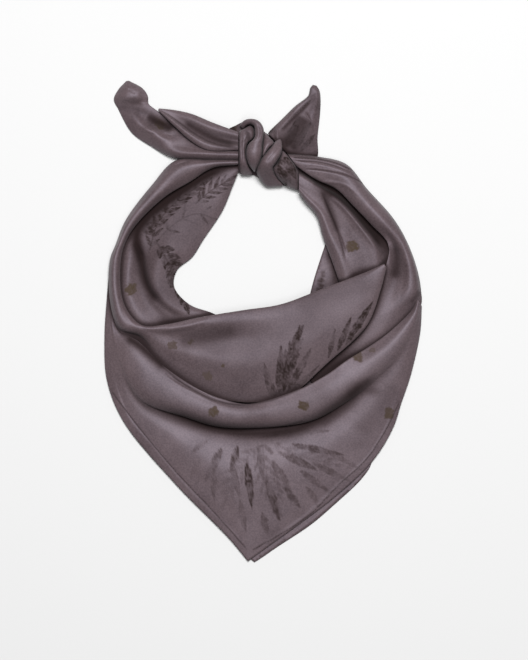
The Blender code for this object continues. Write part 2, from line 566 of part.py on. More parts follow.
def new_object(name, bm):
    """An object of this name from a finished bmesh."""
    mesh = bpy.data.meshes.new(name)
    bm.to_mesh(mesh)
    bm.free()
    mesh.materials.append(silk(name))
    mesh.shade_smooth()
    obj = bpy.data.objects.new(name, mesh)
    bpy.context.collection.objects.link(obj)
    return obj


def build_sheet(sheet, along_steps, across_steps):
    """A length of cloth with an even wall about its smooth surface."""
    bm = bmesh.new()
    grid = [[bm.verts.new(point) for point in line] for line in surface(sheet, along_steps, across_steps)]
    for lower, upper in zip(grid, grid[1:]):
        for index in range(len(lower) - 1):
            bm.faces.new((lower[index], lower[index + 1], upper[index + 1], upper[index]))
    bmesh.ops.triangulate(bm, faces=bm.faces[:], quad_method="SHORT_EDGE")
    obj = new_object(sheet.name, bm)
    wall = obj.modifiers.new("wall", "SOLIDIFY")
    wall.thickness = CLOTH
    wall.offset = 0.0
    wall.use_even_offset = True
    wall.thickness_clamp = 1.0
    return obj


def build_wrap(wrap, along_steps=2, across_steps=2):
    """A rounded wrap of the knot, closed below by its flat foot."""
    sections = []
    for line in wrap.rows:
        guides = [plan(share) for share in line.guides]
        points = []
        for column, lift in zip(WRAP_COLUMNS, line.lifts):
            point = across(guides, column.at)
            point.z = lift * FOLD_HEIGHT
            points.append(point)
        sections.append(points)
    rails = [smooth_line(list(rail), along_steps) for rail in zip(*sections)]
    bm = bmesh.new()
    rings = []
    for points in zip(*rails):
        rings.append([bm.verts.new(point) for point in smooth_line(list(points), across_steps)])
    for lower, upper in zip(rings, rings[1:]):
        for index in range(len(lower)):
            after = (index + 1) % len(lower)
            bm.faces.new((lower[index], lower[after], upper[after], upper[index]))
    bm.faces.new(rings[0][::-1])
    bm.faces.new(rings[-1])
    bmesh.ops.triangulate(bm, faces=bm.faces[:])
    bmesh.ops.recalc_face_normals(bm, faces=bm.faces[:])
    return new_object(wrap.name, bm)


def build_under_leaf(name, outline, steps=3):
    """The lower leaf, spread flat on the table."""
    points = [plan((point.x, point.y)) for point in outline]
    corners = [index for index, point in enumerate(outline) if point.corner]
    closed = points + [points[0]]
    line = smooth_line(closed, steps, corners)[:-1]
    bm = bmesh.new()
    floor = bm.faces.new([bm.verts.new(point) for point in line])
    raised = bmesh.ops.extrude_face_region(bm, geom=[floor])
    top = [item for item in raised["geom"] if isinstance(item, bmesh.types.BMVert)]
    bmesh.ops.translate(bm, verts=top, vec=(0.0, 0.0, CLOTH))
    bmesh.ops.recalc_face_normals(bm, faces=bm.faces[:])
    return new_object(name, bm)


def main():
    """Build every piece of the scarf."""
    for obj in list(bpy.data.objects):
        bpy.data.objects.remove(obj, do_unlink=True)
    build_under_leaf("under_leaf", UNDER_LEAF_OUTLINE)
    build_sheet(FRONT_LEAF, 2, 2)
    build_sheet(COLLAR_ROLL, 2, 2)
    build_sheet(LEFT_INNER_BAND, 2, 2)
    build_sheet(RIGHT_INNER_BAND, 2, 2)
    build_sheet(RIGHT_OUTER_BAND, 2, 2)
    build_sheet(LEFT_TAIL, 2, 2)
    build_sheet(LEFT_TAIL_FLAP, 2, 2)
    build_sheet(RIGHT_TAIL, 2, 2)
    for wrap in (KNOT_CORE, KNOT_LEFT_ROLL, KNOT_LOOP, KNOT_BACK_FOLD, KNOT_FRONT_WRAP, KNOT_PRINT_FOLD):
        build_wrap(wrap)


main()
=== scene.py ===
"""A tied silk neckerchief laid on a pale table: its cloth, prints, hems, stitches, lights and camera.

Lengths are in metres. In the tables of sections and in the outline, places and turns are in
ten-thousandths of WIDTH and LENGTH, and lifts in thousandths of FOLD_HEIGHT. The tables of folds,
prints and painted shade are in millimetres from the middle of the outline. X runs across the scarf,
Y runs from its point up to the knot, and the table is Z = 0.
"""
import json
import math
from collections import namedtuple

import bmesh
import bpy
import numpy as np
from bpy.props import FloatProperty, FloatVectorProperty, PointerProperty
from mathutils import Matrix, Vector

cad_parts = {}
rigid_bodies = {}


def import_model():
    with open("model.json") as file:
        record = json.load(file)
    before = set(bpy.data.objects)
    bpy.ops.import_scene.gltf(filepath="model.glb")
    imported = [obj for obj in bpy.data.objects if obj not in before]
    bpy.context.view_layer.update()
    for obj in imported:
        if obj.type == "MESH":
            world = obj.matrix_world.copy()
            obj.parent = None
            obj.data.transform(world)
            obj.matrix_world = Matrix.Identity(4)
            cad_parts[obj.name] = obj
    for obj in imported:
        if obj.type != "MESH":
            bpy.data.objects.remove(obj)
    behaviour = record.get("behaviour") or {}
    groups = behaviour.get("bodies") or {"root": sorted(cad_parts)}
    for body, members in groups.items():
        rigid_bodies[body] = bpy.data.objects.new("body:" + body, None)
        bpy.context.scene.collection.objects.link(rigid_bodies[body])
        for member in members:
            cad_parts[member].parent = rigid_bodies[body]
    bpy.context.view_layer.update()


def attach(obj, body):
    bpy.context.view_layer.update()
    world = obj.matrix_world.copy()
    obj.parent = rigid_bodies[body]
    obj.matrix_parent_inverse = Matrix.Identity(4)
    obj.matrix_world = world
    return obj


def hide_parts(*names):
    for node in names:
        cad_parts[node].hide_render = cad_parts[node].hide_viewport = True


bl_info = {
    "name": "Silk neckerchief",
    "version": (1, 0, 0),
    "blender": (4, 5, 0),
    "location": "View3D > Sidebar > Neckerchief",
    "description": "Builds a tied silk neckerchief with leaf prints, and the table it lies on",
    "category": "Object",
}

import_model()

WIDTH = 0.238
LENGTH = 0.3605
FOLD_HEIGHT = 0.026
CLOTH = 0.001
GAP = 0.0003
MILLIMETRE = 0.001
PLACE_UNITS = 10000
LIFT_UNITS = 1000

# The slack of the silk between its folds, how soon a slope takes a whole fold, and how fold lines and
# painted shade lines end
SLACK_CELL = 0.017
SLACK_HEIGHT = 0.0006
SLACK_SEED = 5
FACING_GAIN = 1.6
FOLD_FADE = 0.22
SHADE_LINE_FADE = 0.15
SHADE_LINE_END = 0.25

# How far a knot wrap's end is tucked on, and how narrow it is drawn, as shares of a section
END_REACH = 0.12
END_WIDTH = 0.05

# The prints, the shade painted along the hem creases, and the hems' thread
LEAF_GRAIN = 0.0011
LEAF_RIB = 0.00055
LEAF_MIDRIB = 0.0004
LEAF_SEED = 20
STEM_LINE = 0.0005
STEM_TONE = 0.7
SPRAY_SEED = 100
SPOT_GRAIN = 0.0008
SPOT_SEED = 60
HEM_SHADE_LINE = 0.0005
HEM_SHADE_TONE = 0.55
STITCH_LENGTH = 0.34
STITCH_WIDTH = 0.00022
STITCH_HEIGHT = STITCH_WIDTH * 0.6
STITCH_REACH = 0.0016

# The steps of lines, the cells of the height map and the faces of a piece
LINE_PITCH = 0.0015
SEAM_PITCH = 0.0005
UNDER_LEAF_PITCH = 0.0034
UNDER_LEAF_ROUNDS = 7
NOISE_CELLS = 64
MAP_PITCH = 0.0012
MAP_CELLS = (240, 340)
COARSE_PITCH = 0.004
MOST_FACES = 38000

# The stage, seen from straight above
PICTURE_HEIGHT = 0.495
PICTURE_MIDDLE = (0.00094, -0.00656)
SENSOR_WIDTH = 36.0
TABLE_SIZE = 6.0
TABLE_DEPTH = 0.0002
TABLE_GREY = (0.635, 0.635, 0.635, 1.0)
KEY_PLACE = (0.12, 0.85, 2.35)
FILL_PLACE = (0.3, -0.5, 2.6)
FILL_SIZE = 1.2

# Columns that a row sets off from a guide point by its own turn
NEAR_TURN = "near turn"
FAR_TURN = "far turn"
UNDER_TURN = "under turn"

Sheet = namedtuple("Sheet", "name layer guides columns rows")
Wrap = namedtuple("Wrap", "name rows")
Row = namedtuple("Row", "name guides lifts near far under corner")
Rim = namedtuple("Rim", "x y corner")
Fold = namedtuple("Fold", "line width lift power", defaults=(1,))
# A line of painted shade: its path, its width and its darkness
ShadeLine = namedtuple("ShadeLine", "line width tone")
Leaf = namedtuple("Leaf", "piece foot tip width tone")
Spray = namedtuple("Spray", "piece stem leaflets length width spread tone")
Spot = namedtuple("Spot", "piece place size tone")
Seam = namedtuple("Seam", "piece line pitch")
# A depth below the folds round a point where shade is painted, and how dark it gets
HollowShade = namedtuple("HollowShade", "start depth tone")


def row(name, guides, lifts, near=0, far=0, under=0, corner=False):
    """One section of a table; a turn below zero folds the cloth back beneath itself."""
    near, far, under = (turn / PLACE_UNITS for turn in (near, far, under))
    places = [(x / PLACE_UNITS, y / PLACE_UNITS) for x, y in guides]
    return Row(name, places, [lift / LIFT_UNITS for lift in lifts], near, far, under, corner)


def sheet(name, layer, guides, columns, *rows):
    """A length of cloth: its layer, its guide points' names, its columns' places and its sections."""
    return Sheet(name, layer, guides, columns, rows)


def wrap(name, *rows):
    """One wrap of the knot and its sections, each with a left and a right guide point."""
    return Wrap(name, rows)


def rim(x, y, corner=False):
    """One point of an outline."""
    return Rim(x / PLACE_UNITS, y / PLACE_UNITS, corner)


COLLAR_ROLL = sheet(
    "collar_roll", 1, ("inner_lip", "outer_lip"),
    {"near_turn": NEAR_TURN, "lip": 0, "brow": 0.1, "dip": 0.32, "bulge": 0.6, "slope": 0.84, "foot": 1,
        "far_turn": FAR_TURN},
    row("knot", ((-767, 3251), (-767, 3330)), (231, 277, 354, 404, 404, 365, 315, 262), near=-25, far=-25),
    row("nape", ((-1568, 3184), (-1710, 3342)), (177, 238, 335, 400, 400, 338, 254, 185), near=-50, far=-57),
    row("shoulder", ((-2293, 2897), (-2746, 3326)),
        (115, 181, 296, 423, 446, 335, 142, 77), near=-69, far=-95),
    row("upper", ((-3080, 2585), (-3481, 2822)), (100, 162, 277, 408, 408, 277, 62, 15), near=-69, far=-95),
    row("side", ((-3985, 2007), (-4303, 2096)), (100, 162, 269, 377, 377, 238, 62, 15), near=-69, far=-82),
    row("side_2", ((-4322, 1638), (-4593, 1628)), (115, 177, 273, 373, 377, 246, 62, 15), near=-69, far=-76),
    row("flank", ((-4467, 1264), (-4795, 1264)), (131, 192, 277, 369, 377, 269, 92, 46), near=-69, far=-69),
    row("low", ((-4423, 484), (-4795, 432)), (154, 215, 300, 392, 396, 292, 131, 92), near=-69, far=-69),
    row("curl", ((-4120, 88), (-4514, -155)), (185, 246, 338, 415, 415, 323, 169, 119), near=-69, far=50),
    row("turn", ((-3742, -99), (-3843, -328)), (238, 300, 385, 385, 323, 223, 138, 85), near=-63, far=252),
    row("front_1", ((-3033, -70), (-3285, -733)),
        (262, 346, 415, 308, 269, 200, 162, 154), near=-76, far=145),
    row("front_2", ((-1977, 76), (-2308, -1222)),
        (292, 377, 454, 300, 408, 300, 215, 223), near=-82, far=145),
    row("front_3", ((-622, 222), (-859, -1572)),
        (315, 392, 485, 400, 515, 369, 246, 262), near=-82, far=145),
    row("front_4", ((575, 346), (827, -1462)), (331, 412, 500, 515, 515, 369, 246, 254), near=-82, far=113),
    row("front_5", ((1867, 665), (2182, -775)), (350, 431, 508, 531, 515, 408, 277, 215), near=-82, far=-76),
    row("front_6", ((2781, 894), (3263, -82)), (362, 438, 508, 531, 515, 454, 354, 269), near=-82, far=-82),
    row("front_7", ((3395, 1056), (3679, 629)), (369, 438, 500, 515, 504, 469, 408, 338), near=-76, far=-76),
    row("corner", ((3808, 1183), (3871, 1116)), (400, 438, 458, 465, 462, 450, 423, 392), near=-32, far=-32),
)

FRONT_LEAF = sheet(
    "front_leaf", 1, ("lip", "nose", "edge"),
    {"lip": 0, "crest": 0.4, "brow": 0.78, "nose": 1, "under": UNDER_TURN, "valley": 1.13, "swell": 1.38,
        "apron": 1.74, "edge": 2},
    row("left_end", ((-4706, 1233), (-4744, 1233), (-4810, 1243)),
        (15, 23, 23, 19, 17, 15, 12, 8, 0), under=4),
    row("left_1", ((-4703, 484), (-4766, 484), (-4902, 505)), (31, 54, 58, 54, 50, 46, 35, 19, 0), under=8),
    row("left_2", ((-4492, -165), (-4703, -244), (-4977, -328)),
        (38, 119, 127, 123, 115, 104, 81, 42, 0), under=19),
    row("left_3", ((-3874, -432), (-4404, -952), (-4902, -1222)),
        (277, 373, 331, 262, 238, 215, 154, 69, 0), under=32),
    row("left_4", ((-3055, -956), (-3774, -1638), (-4385, -2075)),
        (377, 477, 423, 262, 208, 146, 123, 62, 0), under=32),
    row("left_5", ((-2009, -1410), (-2387, -1992), (-2765, -3365)),
        (415, 538, 477, 238, 154, 104, 177, 92, 0), under=-38),
    row("left_6", ((-1284, -1607), (-1505, -2169), (-1064, -4509)),
        (431, 562, 492, 238, 138, 100, 200, 92, 0), under=-69),
    row("point", ((-433, -1711), (-481, -2210), (-465, -4988)),
        (438, 569, 500, 238, 131, 100, 200, 92, 0), under=-88, corner=True),
    row("right_5", ((1205, -1389), (1505, -2065), (2371, -3594)),
        (423, 546, 477, 246, 162, 115, 185, 100, 0), under=-32),
    row("right_4b", ((2056, -1087), (2466, -1732), (3493, -2874)),
        (385, 500, 446, 254, 192, 146, 181, 96, 0), under=13),
    row("right_4", ((2623, -817), (3159, -1399), (4105, -2210)),
        (346, 446, 408, 262, 223, 192, 177, 92, 0), under=44),
    row("right_3b", ((3285, -552), (3742, -1056), (4372, -1680)),
        (200, 408, 373, 269, 238, 208, 177, 88, 0), under=41),
    row("right_3", ((3884, -276), (4246, -723), (4640, -1160)),
        (192, 373, 346, 269, 246, 223, 177, 85, 0), under=38),
    row("right_2", ((4688, 224), (4820, 26), (4949, -244)),
        (115, 231, 227, 200, 188, 169, 131, 62, 0), under=22),
    row("right_end", ((4877, 442), (4924, 390), (4999, 317)),
        (150, 162, 158, 150, 138, 123, 100, 65, 31), under=6),
)

RIGHT_OUTER_BAND = sheet(
    "right_outer_band", 1, ("inner_lip", "outer_edge"),
    {"near_turn": NEAR_TURN, "lip": 0, "shoulder": 0.25, "crest": 0.5, "flank": 0.72, "side": 0.9,
        "edge": 1},
    row("knot", ((1038, 3226), (770, 3469)), (285, 335, 400, 415, 392, 315, 219), near=-32),
    row("nape", ((1662, 2949), (1703, 3417)), (208, 277, 354, 392, 373, 258, 85), near=-69),
    row("top", ((2324, 2741), (2623, 3255)), (192, 254, 373, 431, 392, 300, 123), near=-76),
    row("bend", ((2844, 2398), (3285, 2739)), (192, 254, 412, 462, 408, 292, 54), near=-76),
    row("upper", ((3459, 1975), (4086, 2148)), (192, 246, 412, 469, 408, 285, 31), near=-76),
    row("side_1", ((3931, 1618), (4527, 1659)), (185, 200, 215, 338, 354, 269, 23), near=-38),
    row("side_2", ((3947, 1066), (4848, 1087)), (177, 169, 100, 185, 315, 262, 23), near=113),
    row("side_3", ((3632, 380), (4974, 640)), (169, 185, 185, 238, 292, 223, 23), near=145),
    row("low_1", ((3159, -78), (4968, 317)), (138, 169, 192, 177, 123, 46, 4), near=145),
    row("low_2", ((2592, -484), (4199, -244)), (85, 108, 146, 154, 115, 54, 4), near=145),
    row("low_3", ((1962, -879), (2592, -931)), (38, 54, 69, 73, 58, 31, 4), near=95),
    row("tail", ((1426, -1201), (1615, -1305)), (15, 23, 31, 35, 31, 19, 4), near=32),
)

RIGHT_INNER_BAND = sheet(
    "right_inner_band", 1, ("left_edge", "right_edge"),
    {"near_turn": NEAR_TURN, "left": 0, "ridge_a": 0.14, "groove_a": 0.3, "ridge_b": 0.45, "groove_b": 0.62,
        "ridge_c": 0.8, "right": 1, "far_turn": FAR_TURN},
    row("knot", ((1133, 2676), (1133, 3122)),
        (169, 238, 392, 377, 400, 385, 354, 162, 131), near=-50, far=63),
    row("nape", ((1294, 2518), (1741, 2876)), (108, 219, 385, 354, 354, 369, 369, 92, 62), near=-82, far=82),
    row("upper", ((1697, 2194), (2545, 2577)),
        (62, 181, 354, 300, 300, 331, 362, 46, 62), near=-82, far=158),
    row("mid", ((1905, 1742), (3254, 2081)), (46, 146, 323, 262, 262, 308, 346, 38, 115), near=-82, far=284),
    row("low", ((2166, 1285), (3783, 1690)), (38, 123, 292, 231, 238, 285, 323, 38, 131), near=-82, far=378),
    row("mouth", ((2397, 848), (3928, 1264)), (31, 108, 254, 200, 208, 246, 254, 38, 62), near=-82, far=378),
    row("end", ((2529, 525), (3758, 837)), (23, 69, 154, 108, 138, 154, 146, 38, 15), near=-69, far=221),
)

LEFT_INNER_BAND = sheet(
    "left_inner_band", 0, ("inner_edge", "outer_edge"),
    {"inner": 0, "slope": 0.15, "ridge_b": 0.35, "groove": 0.6, "ridge_a": 0.86, "outer": 1,
        "far_turn": FAR_TURN},
    row("knot", ((-774, 3097), (-770, 3222)), (158, 212, 246, 250, 238, 227, 223), far=63),
    row("nape", ((-963, 2783), (-1757, 3134)), (112, 219, 258, 235, 158, 135, 135), far=82),
    row("upper", ((-1265, 2304), (-2860, 2689)), (81, 204, 265, 227, 81, 42, 35), far=252),
    row("mid", ((-1877, 1690), (-3742, 2190)), (65, 188, 273, 196, 54, 38, 31), far=252),
    row("bend", ((-2211, 1345), (-4120, 1878)), (62, 188, 273, 158, 65, 50, 38), far=252),
    row("pit", ((-2702, 1062), (-4341, 1586)), (58, 181, 265, 73, 173, 96, 42), far=268),
    row("side", ((-2790, 713), (-4483, 796)), (65, 188, 265, 81, 235, 142, 38), far=233),
    row("low", ((-2311, 346), (-4388, 338)), (65, 181, 258, 104, 242, 158, 112), far=76),
    row("mouth", ((-1568, 163), (-4183, -16)), (58, 150, 188, 104, 212, 142, 96), far=76),
    row("end", ((-1032, -16), (-3868, -328)), (42, 104, 127, 65, 119, 88, 73), far=50),
)

LEFT_TAIL = sheet(
    "left_tail", 0, ("lower_edge", "upper_edge"),
    {"near_turn": NEAR_TURN, "lower": 0, "roll": 0.15, "groove": 0.35, "ridge": 0.55, "back": 0.8,
        "upper": 1},
    row("knot", ((-767, 3396), (-767, 3750)), (227, 473, 512, 419, 304, 235, 196), near=145),
    row("nape", ((-1820, 3417), (-1883, 3792)), (188, 442, 485, 381, 273, 173, 96), near=145),
    row("elbow", ((-2784, 3400), (-2387, 4104)), (42, 158, 365, 304, 235, 112, 50), near=-25),
    row("belly", ((-3490, 3633), (-2986, 4249)), (15, 38, 204, 304, 135, 81, 42), near=-38),
    row("calf", ((-4120, 3925), (-3427, 4424)), (8, 19, 135, 212, 96, 88, 50), near=-25),
    row("wrist", ((-4546, 4416), (-3597, 4524)), (8, 15, 81, 119, 112, 119, 65), near=-25),
    row("palm", ((-4681, 4615), (-3622, 4678)), (8, 12, 135, 250, 273, 231, 88), near=-25),
    row("finger", ((-4546, 4811), (-3789, 4836)), (8, 12, 119, 212, 227, 188, 81), near=-25),
    row("tip", ((-4290, 4992), (-4215, 4996)), (6, 8, 15, 19, 19, 15, 8), near=-6),
)

LEFT_TAIL_FLAP = sheet(
    "left_tail_flap", 0, ("lower_lip", "upper_edge"),
    {"near_turn": NEAR_TURN, "lip": 0, "roll": 0.18, "trough": 0.5, "back": 0.8, "top": 1},
    row("knot", ((-767, 3546), (-767, 3916)), (450, 504, 550, 350, 450, 388), near=-50),
    row("nape", ((-1725, 3550), (-1599, 4124)), (377, 435, 504, 265, 358, 250), near=-57),
    row("mid", ((-2293, 3760), (-2230, 4299)), (312, 362, 435, 219, 265, 173), near=-57),
    row("end_1", ((-2844, 4095), (-2765, 4382)), (227, 265, 312, 181, 165, 119), near=-44),
    row("end_2", ((-3288, 4387), (-3257, 4416)), (135, 142, 150, 146, 138, 131), near=-6),
)

RIGHT_TAIL = sheet(
    "right_tail", 0, ("left_edge", "right_edge"),
    {"left": 0, "hem": 0.12, "middle": 0.45, "fold": 0.75, "right": 1},
    row("knot", ((165, 3896), (884, 3409)), (288, 346, 327, 250, 158)),
    row("root", ((241, 3962), (1678, 3376)), (96, 269, 181, 150, 27)),
    row("mid_1", ((575, 4176), (1722, 3833)), (58, 181, 154, 173, 19)),
    row("mid_2", ((1016, 4462), (1795, 4291)), (42, 158, 135, 165, 15)),
    row("mid_3", ((1442, 4692), (1814, 4603)), (35, 119, 119, 127, 15)),
    row("tip_1", ((1505, 4848), (1782, 4790)), (27, 81, 96, 81, 15)),
    row("tip", ((1584, 4911), (1694, 4894)), (12, 19, 23, 19, 12)),
)

# A knot wrap is round: its foot stands in under its sides
WRAP_COLUMNS = {"left_foot": 0.08, "left_side": 0, "left_shoulder": 0.14, "crest": 0.5,
    "right_shoulder": 0.86, "right_side": 1, "right_foot": 0.92}

KNOT_LEFT_ROLL = wrap(
    "knot_left_roll",
    row("top", ((-603, 3971), (-377, 4050)), (142, 338, 435, 462, 435, 338, 142)),
    row("r1", ((-717, 3929), (-288, 3971)), (142, 423, 562, 596, 562, 423, 142)),
    row("r2", ((-733, 3802), (-288, 3812)), (142, 488, 650, 654, 612, 458, 142)),
    row("r3", ((-733, 3667), (-484, 3675)), (142, 485, 650, 692, 650, 485, 142)),
    row("r4", ((-733, 3480), (-547, 3480)), (142, 485, 650, 692, 650, 485, 142)),
    row("r5", ((-723, 3251), (-484, 3238)), (142, 423, 562, 596, 562, 423, 142)),
    row("foot", ((-673, 3055), (-345, 3055)), (142, 219, 258, 269, 258, 219, 142)),
)

KNOT_LOOP = wrap(
    "knot_loop",
    row("start", ((-616, 3995), (-704, 4070)), (142, 246, 296, 308, 296, 246, 142)),
    row("r0", ((-522, 4058), (-559, 4162)), (142, 365, 473, 500, 473, 365, 142)),
    row("r1", ((-377, 4083), (-351, 4183)), (142, 458, 612, 654, 612, 458, 142)),
    row("r2", ((-263, 4029), (-124, 4133)), (142, 519, 700, 750, 700, 519, 142)),
    row("r3", ((-244, 3925), (14, 3987)), (142, 554, 754, 808, 754, 554, 142)),
    row("r4", ((-257, 3787), (8, 3804)), (142, 592, 808, 865, 808, 592, 142)),
    row("r5", ((-446, 3646), (-17, 3646)), (142, 615, 842, 904, 842, 615, 142)),
    row("r6", ((-515, 3459), (-30, 3467)), (142, 638, 877, 942, 877, 638, 142)),
    row("r7", ((-452, 3271), (-87, 3309)), (142, 577, 788, 846, 788, 577, 142)),
    row("foot", ((-288, 3118), (-225, 3130)), (142, 388, 508, 538, 508, 388, 142)),
)

KNOT_BACK_FOLD = wrap(
    "knot_back_fold",
    row("top", ((58, 3887), (115, 3871)), (142, 338, 435, 462, 435, 338, 142)),
    row("r1", ((36, 3792), (241, 3779)), (142, 458, 612, 654, 612, 458, 142)),
    row("r2", ((20, 3688), (342, 3688)), (142, 519, 700, 750, 700, 519, 142)),
    row("r3", ((11, 3584), (191, 3579)), (142, 542, 738, 788, 738, 542, 142)),
    row("foot", ((-2, 3434), (30, 3430)), (142, 519, 700, 750, 700, 519, 142)),
)

KNOT_FRONT_WRAP = wrap(
    "knot_front_wrap",
    row("top", ((424, 3725), (556, 3754)), (423, 496, 531, 538, 531, 496, 423)),
    row("r1", ((304, 3621), (594, 3584)), (423, 627, 723, 750, 723, 627, 423)),
    row("r2", ((147, 3505), (537, 3425)), (177, 604, 812, 865, 812, 604, 177)),
    row("r3", ((-5, 3380), (418, 3280)), (142, 604, 827, 885, 827, 604, 142)),
    row("r4", ((-106, 3247), (310, 3172)), (142, 565, 773, 827, 773, 565, 142)),
    row("r5", ((-181, 3097), (361, 3047)), (142, 458, 612, 654, 612, 458, 142)),
    row("r6", ((-74, 2951), (487, 2926)), (142, 338, 435, 462, 435, 338, 142)),
    row("foot", ((134, 2805), (619, 2822)), (142, 208, 242, 250, 242, 208, 142)),
)

KNOT_PRINT_FOLD = wrap(
    "knot_print_fold",
    row("top", ((626, 3513), (676, 3492)), (142, 338, 435, 462, 435, 338, 142)),
    row("r1", ((563, 3388), (840, 3367)), (142, 446, 596, 635, 596, 446, 142)),
    row("r2", ((443, 3251), (978, 3247)), (142, 485, 650, 692, 650, 485, 142)),
    row("r3", ((336, 3155), (1054, 3138)), (142, 485, 650, 692, 650, 485, 142)),
    row("r4", ((418, 3018), (1105, 2980)), (142, 435, 577, 615, 577, 435, 142)),
    row("r5", ((581, 2893), (1111, 2839)), (142, 315, 400, 423, 400, 315, 142)),
    row("foot", ((780, 2801), (1092, 2731)), (142, 196, 223, 231, 223, 196, 142)),
)

KNOT_CORE = wrap(
    "knot_core",
    row("left", ((-1032, 3896), (-1057, 4004)), (1, 19, 35, 38, 35, 19, 1)),
    row("x1", ((-843, 3126), (-856, 4062)), (1, 54, 108, 115, 108, 54, 1)),
    row("x2", ((-559, 3063), (-635, 4133)), (1, 54, 112, 123, 112, 54, 1)),
    row("x3", ((-244, 3034), (-276, 4154)), (1, 54, 112, 123, 112, 54, 1)),
    row("x4", ((39, 2918), (58, 3927)), (1, 54, 112, 123, 112, 54, 1)),
    row("x5", ((449, 2843), (465, 3762)), (1, 54, 112, 123, 112, 54, 1)),
    row("x6", ((827, 2805), (827, 3513)), (1, 54, 112, 123, 112, 54, 1)),
    row("x7", ((1111, 2731), (1079, 3334)), (1, 54, 112, 123, 112, 54, 1)),
    row("right", ((1268, 2668), (1268, 3240)), (1, 54, 108, 115, 108, 54, 1)),
)

UNDER_LEAF_OUTLINE = (
    rim(-263, -5013, corner=True), rim(-496, -4884), rim(-701, -4728), rim(-1725, -4010),
    rim(-3553, -2616), rim(-4530, -1763), rim(-4782, -1014), rim(-4751, -598, corner=True),
    rim(-3238, -640), rim(-1820, -473), rim(-559, -140, corner=True), rim(1174, 317),
    rim(1489, 567, corner=True), rim(1634, 921), rim(1804, 1274), rim(1993, 1649, corner=True),
    rim(2308, 1482), rim(3128, 858), rim(4073, 525, corner=True), rim(4546, -78), rim(4577, -640),
    rim(4294, -1326), rim(3884, -2158), rim(3459, -2866, corner=True), rim(3380, -3032),
    rim(3065, -3313), rim(2308, -3781), rim(1536, -4218), rim(402, -4717), rim(-24, -4913),
)

